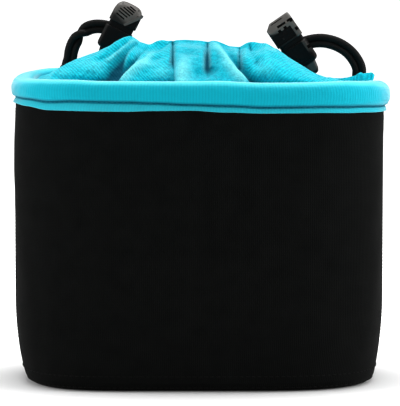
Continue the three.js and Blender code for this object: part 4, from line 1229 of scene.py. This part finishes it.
def turned_box(half_x, half_y, half_z, centre, lean=0):
    """A rounded box along X, leaning about Y."""
    outline = rounded(half_z, half_y, min(half_z, half_y) * 0.5, 4, 4, 3)[:, ::-1]
    return leaned([np.insert(outline, 0, x, axis=1) for x in (-half_x, half_x)], lean) + centre


def prism(outline, near, far):
    """A block along Y from an outline of (x, z)."""
    return [np.insert(np.array(outline, float), 1, y, axis=1) for y in (near, far)]


def lock_origin(lock):
    """Where a lock's middle lies on its cords before it slides, in the frame's millimetres."""
    turn = math.radians(lock["tilt"])
    x = lock["centre_x"] + lock["radius"] * math.sin(turn)
    z = RIM_TOP / MM + lock["centre_z"] + lock["radius"] * math.cos(turn)
    return np.array([x, MOUTH_Y / MM, z])


def lock_object(name, layers, side):
    """A closed solid through layers of the same count, in the lock's own millimetres."""
    rings = np.array(layers)
    points = np.concatenate([rings.reshape(-1, 3), [rings[0].mean(0)], [rings[-1].mean(0)]])
    lock = LOCKS[side]
    placed = leaned(points + (lock["slide"], 0, 0), lock["tilt"]) + lock_origin(lock)
    return add_object(name, new_mesh(name, placed * MM, capped_faces(*rings.shape[:2]), weld=True))


def lock_local(points, side):
    """From the frame's metres to a lock's own millimetres."""
    lock = LOCKS[side]
    return leaned(points / MM - lock_origin(lock), -lock["tilt"]) - (lock["slide"], 0, 0)


def add_lock_piece(name, body, node, side, layers, steps, painted_light_at):
    """A lock's plastic piece, from layers and boolean steps. The last argument says how much painted
    light each place gets.
    """
    thing = lock_object(name, layers, side)
    others = []
    for operation, solid in steps:
        other = lock_object(f"{name}_tool", solid, side)
        modifier = thing.modifiers.new("step", "BOOLEAN")
        modifier.operation = operation
        modifier.solver = "EXACT"
        modifier.object = other
        others.append(other)
    bevel = thing.modifiers.new("edges", "BEVEL")
    bevel.width = 0.16 * MM
    bevel.segments = 2
    bevel.limit_method = "ANGLE"
    bevel.angle_limit = math.radians(38)
    graph = bpy.context.evaluated_depsgraph_get()
    mesh = bpy.data.meshes.new_from_object(thing.evaluated_get(graph))
    for other in others + [thing]:
        old = other.data
        bpy.data.objects.remove(other)
        bpy.data.meshes.remove(old)
    mesh.name = name
    mesh.shade_smooth()
    mesh.set_sharp_from_angle(angle=math.radians(42))
    mesh.materials.clear()
    middles = np.zeros(len(mesh.polygons) * 3)
    mesh.polygons.foreach_get("center", middles)
    set_mark(mesh, "painted_light", "FACE", painted_light_at(*lock_local(middles.reshape(-1, 3), side).T))
    take_place(name, mesh, body, "lock_plastic", node)


def sunk_panel(low, high, face, depth):
    """The step that sinks a face of a right lock's piece, between two heights."""
    left, right = -6.2, 4.2
    outline = [(left, low), (right, low), (right, high), (left, high)]
    return "DIFFERENCE", prism(outline, face * OUTSIDE, face * depth)


def side_notch(z, face):
    return "DIFFERENCE", turned_box(1.2, 1.7, 0.85, (6.4, face * 5.4, z))


def add_housing(side):
    trunk = between([
        (LOCK_BOTTOM, 2.4, 2.0, 1.2), (-15.4, 3.2, 2.7, 1.5), (-13.8, 4.1, 3.4, 1.6),
        (-9.9, 4.9, 4.0, 1.6), (-9.6, 5.9, 5.0, 1.9), (-8.9, 6.7, 5.6, 2.1), (-7.8, 7.05, 6.0, 2.3),
        (1.3, 7.1, 6.2, 2.4), (SHOULDER, 6.8, 5.9, 2.2),
    ], 60)
    steps = [
        ("UNION", between([(0.6, *SLEEVE, 1.6), (BARREL_TOP, *SLEEVE, 1.6)], 6)),
        ("DIFFERENCE", box(4.4, 3.5, CAVITY_FLOOR, 6)),
        ("DIFFERENCE", box(OUTSIDE, 2.2, -5.2, 3.45, 0.6)),
    ]
    if side == "right":
        for face in (-1, 1):
            steps += [
                sunk_panel(-8.1, 0.9, face, BARREL_SUNK),
                ("UNION", turned_box(0.5, 0.5, 0.5, (-2.1, face * 5.5, -4.2))),
                side_notch(-2.7, face),
            ]
    painted_light_at = left_housing_painted_light if side == "left" else right_housing_painted_light
    nodes = f"{side}_lock", f"{side}_lock_barrel"
    add_lock_piece(f"{side}_lock_housing", *nodes, side, trunk, steps, painted_light_at)


# Painted light on the left barrel's left edge.
def left_housing_painted_light(x, y, z):
    return 0.12 * smoothstep(-x, 6, 6.8) * smoothstep(z, -12, -8)


# Painted light on the right barrel's neck and down its right edge.
def right_housing_painted_light(x, y, z):
    neck = 0.5 * smoothstep(x, -2, 1) * (1 - smoothstep(z, -10.4, -9.8)) * smoothstep(z, -15, -13.5)
    edge = 0.3 * smoothstep(x, 4.1, 4.4) * smoothstep(np.abs(y), 5.6, 5.9) * smoothstep(z, -6, -3)
    return neck + edge


def dome_half_thickness(z):
    return CAP_HALF_THICKNESS * (1 - np.clip((z - DOME_START) / DOME_HEIGHT, 0, 1) ** 2) ** 0.3


def slope_factor(z):
    return 1 - SLOPE_SHARE * np.clip((z - SLOPE_START) / (RIGHT_CAP_TOP - SLOPE_START), 0, 1)


# Painted light greys the left cap, most towards its top; its grooves and recess get none, which paints
# them as shaded.
def left_cap_painted_light(x, y, z):
    in_groove = (np.abs(y) < dome_half_thickness(z) - 0.25) & (np.abs(x) < 4.5) & (z < 14.3) & (z > 6.5)
    in_recess = (np.abs(y) < 5.85) & (x > 1.3) & (x < 7) & (z < 11.5)
    return np.where(in_groove | in_recess, 0, 0.1 + 0.9 * smoothstep(z + 0.4 * x, 4.6, 8.2))


# Painted light greys the right cap, most on its right side and top; its sunk faces get none, which paints
# them as shaded.
def right_cap_painted_light(x, y, z):
    sunk = (np.abs(y) < CAP_HALF_THICKNESS * slope_factor(z) - 0.3) & (np.abs(x) < 6.6) & (z < 16.2)
    painted_light = np.maximum(0.08 + 0.7 * smoothstep(x, 4, 4.6), smoothstep(z + 0.35 * x, 9.6, 10.8))
    return np.where(sunk, 0, painted_light)


def left_cap_shape():
    """The domed cap with slanting grooves and an oblique lip."""
    knots = [
        (HOOD_LIP, 6.9, 6.0, 2.4), (HOOD_LIP + 0.4, 7.15, 6.2, 2.5), (DOME_START, 7.1, 6.15, 2.6),
    ]
    for turn in np.radians([15, 30, 45, 58, 70, 80, 87]):
        wide, thick = 7.05 * math.cos(turn) ** 0.55, 6.1 * math.cos(turn) ** 0.6
        knots.append((DOME_START + DOME_HEIGHT * math.sin(turn), wide, thick, 2.6))
    recess = [(1.2, 4.1), (7.4, 11.6), (OUTSIDE, 11.6), (OUTSIDE, 3), (1.2, 3)]
    lip = [(0.5, 5.1), (6.4, 12.7), (7.6, 12.3), (7.4, 11.5), (1.4, 4.5)]
    steps = []
    for face in (-1, 1):
        steps += [
            ("DIFFERENCE", prism(recess, face * OUTSIDE, face * CAP_SUNK)),
            ("UNION", prism(lip, *(face * depth for depth in LIP_DEPTH))),
        ]
        for x, z, half in LEFT_GROOVES:
            centre = (x, face * dome_half_thickness(z), z)
            steps.append(("DIFFERENCE", turned_box(half, 0.8, 0.36, centre, GROOVE_LEAN)))
    return between(knots, 90), steps


def right_cap_shape():
    """The square cap with a sloped end, notches and a sunk face."""
    knots = [
        (HOOD_LIP, 6.9, 6.0, 1.5), (HOOD_LIP + 0.3, 7.1, 6.2, 1.5), (15.6, 7.05, 6.15, 1.4),
        (16.6, 6.8, 5.9, 1.2), (RIGHT_CAP_TOP, 6.3, 5.4, 1.1),
    ]
    layers = np.array(between(knots, 50))
    layers[..., 1] *= slope_factor(layers[..., 2])
    corner = [(-8, 13.6), (-3.2, 17.4), (-8, 17.4)]
    steps = [("DIFFERENCE", prism(corner, -OUTSIDE, OUTSIDE))]
    for face in (-1, 1):
        steps += [
            sunk_panel(5.2, 11, face, CAP_SUNK),
            ("UNION", turned_box(0.5, 0.3, 0.5, (-2.1, face * (CAP_SUNK + 0.2), 7.2))),
        ]
        for x, z, half, high in RIGHT_NOTCHES:
            steps.append(("DIFFERENCE", turned_box(half, 1.2, high, (x, face * CAP_SUNK, z))))
        steps.append(("DIFFERENCE", turned_box(3.2, 0.6, 0.24, (-0.4, face * 3.9, 16.1))))
        steps += [side_notch(z, face) for z in (8, 12.9)]
    return layers, steps


def add_cap(side):
    """A hood over the barrel's sleeve, with a stem, the cord's bore and a notch over the cord."""
    layers, shape_steps = left_cap_shape() if side == "left" else right_cap_shape()
    steps = [
        ("DIFFERENCE", box(*HOOD, HOOD_LIP - 2, HOOD_CEILING, 1.4)),
        ("UNION", box(4.1, 3.2, 2.5, HOOD_CEILING + 1, 0.6)),
        ("DIFFERENCE", box(5, 2.2, 1, 6.5, 0.6)),
        ("DIFFERENCE", box(OUTSIDE, 2.4, HOOD_LIP - 1, HOOD_LIP + CORD_NOTCH)),
    ]
    painted_light_at = left_cap_painted_light if side == "left" else right_cap_painted_light
    nodes = f"{side}_plunger", f"{side}_lock_plunger"
    add_lock_piece(f"{side}_lock_cap", *nodes, side, layers, steps + shape_steps, painted_light_at)


def dress_springs():
    for side in LOCKS:
        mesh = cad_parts[f"{side}_lock_spring"].data
        mesh.materials.clear()
        mesh.materials.append(MATERIALS["spring_steel"])


def add_lamp(name, place, size, power):
    data = bpy.data.lights.new(name, "AREA")
    data.shape = "RECTANGLE"
    data.size, data.size_y = size
    data.energy = power
    lamp = add_object(name, data)
    lamp.location = place
    middle = Vector((0, 0, 0.1))
    lamp.rotation_euler = (middle - Vector(place)).to_track_quat("-Z", "Y").to_euler()


def plain_view(tree):
    """1 for rays from the camera and for passed-through ones, else 0."""
    path = tree.nodes.new("ShaderNodeLightPath")
    share = Field(tree, path.outputs["Is Camera Ray"])
    return share.math("MAXIMUM", Field(tree, path.outputs["Is Transmission Ray"]))


def light_studio():
    world = bpy.data.worlds.new("studio")
    bpy.context.scene.world = world
    world.use_nodes = True
    background = world.node_tree.nodes["Background"]
    background.inputs["Color"].default_value = (1, 1, 1, 1)
    (plain_view(world.node_tree) * 0.74 + 0.26).feed(background, "Strength")
    add_lamp("top_box", (0.05, 0.2, 1.1), (1.0, 0.8), 14)
    add_lamp("left_box", (-1.0, -0.15, 0.35), (0.6, 0.7), 6)
    add_lamp("right_box", (1.0, -0.1, 0.4), (0.6, 0.7), 8)
    add_lamp("front_box", (0.2, -1.7, 0.9), (0.8, 0.5), 5)


def paper():
    """Pale paper that glows white to the camera, but less and less towards the pouch's foot, which paints
    a shadow round the foot over its real one.
    """
    look = Look(
        "paper", Base_Color=(0.8, 0.8, 0.8, 1), Roughness=0.9, Specular_IOR_Level=0,
        Emission_Color=(1, 1, 1, 1),
    )
    nodes, links = look.tree.nodes, look.tree.links
    place = nodes.new("ShaderNodeTexCoord")
    squeezed = nodes.new("ShaderNodeVectorMath")
    squeezed.operation = "MULTIPLY"
    squeezed.inputs[1].default_value = (BODY_DEPTH / BODY_WIDTH, 1, 1)
    far = nodes.new("ShaderNodeVectorMath")
    far.operation = "LENGTH"
    links.new(place.outputs["Object"], squeezed.inputs[0])
    links.new(squeezed.outputs["Vector"], far.inputs[0])
    away = Field(look.tree, far.outputs["Value"]).clamp(0.055, 0.13)
    (plain_view(look.tree) * (away * 0.95 + 0.02)).feed(look.shader, "Emission Strength")
    return look.material


def lay_floor():
    half = 12
    mesh = bpy.data.meshes.new("floor")
    corners = [(-half, -half, 0), (half, -half, 0), (half, half, 0), (-half, half, 0)]
    mesh.from_pydata(corners, [], [(0, 1, 2, 3)])
    mesh.materials.append(paper())
    floor = add_object("floor", mesh)
    floor.location.z = -0.2 * MM


make_camera()
add_tails()
add_walls()
add_base()
add_band()
add_base_stitching()
add_side_seams()
add_drawcords(add_collar())
for lock_side in LOCKS:
    add_housing(lock_side)
    add_cap(lock_side)
dress_springs()
light_studio()
lay_floor()
bpy.context.scene.view_settings.view_transform = "Standard"

bpy.context.view_layer.update()
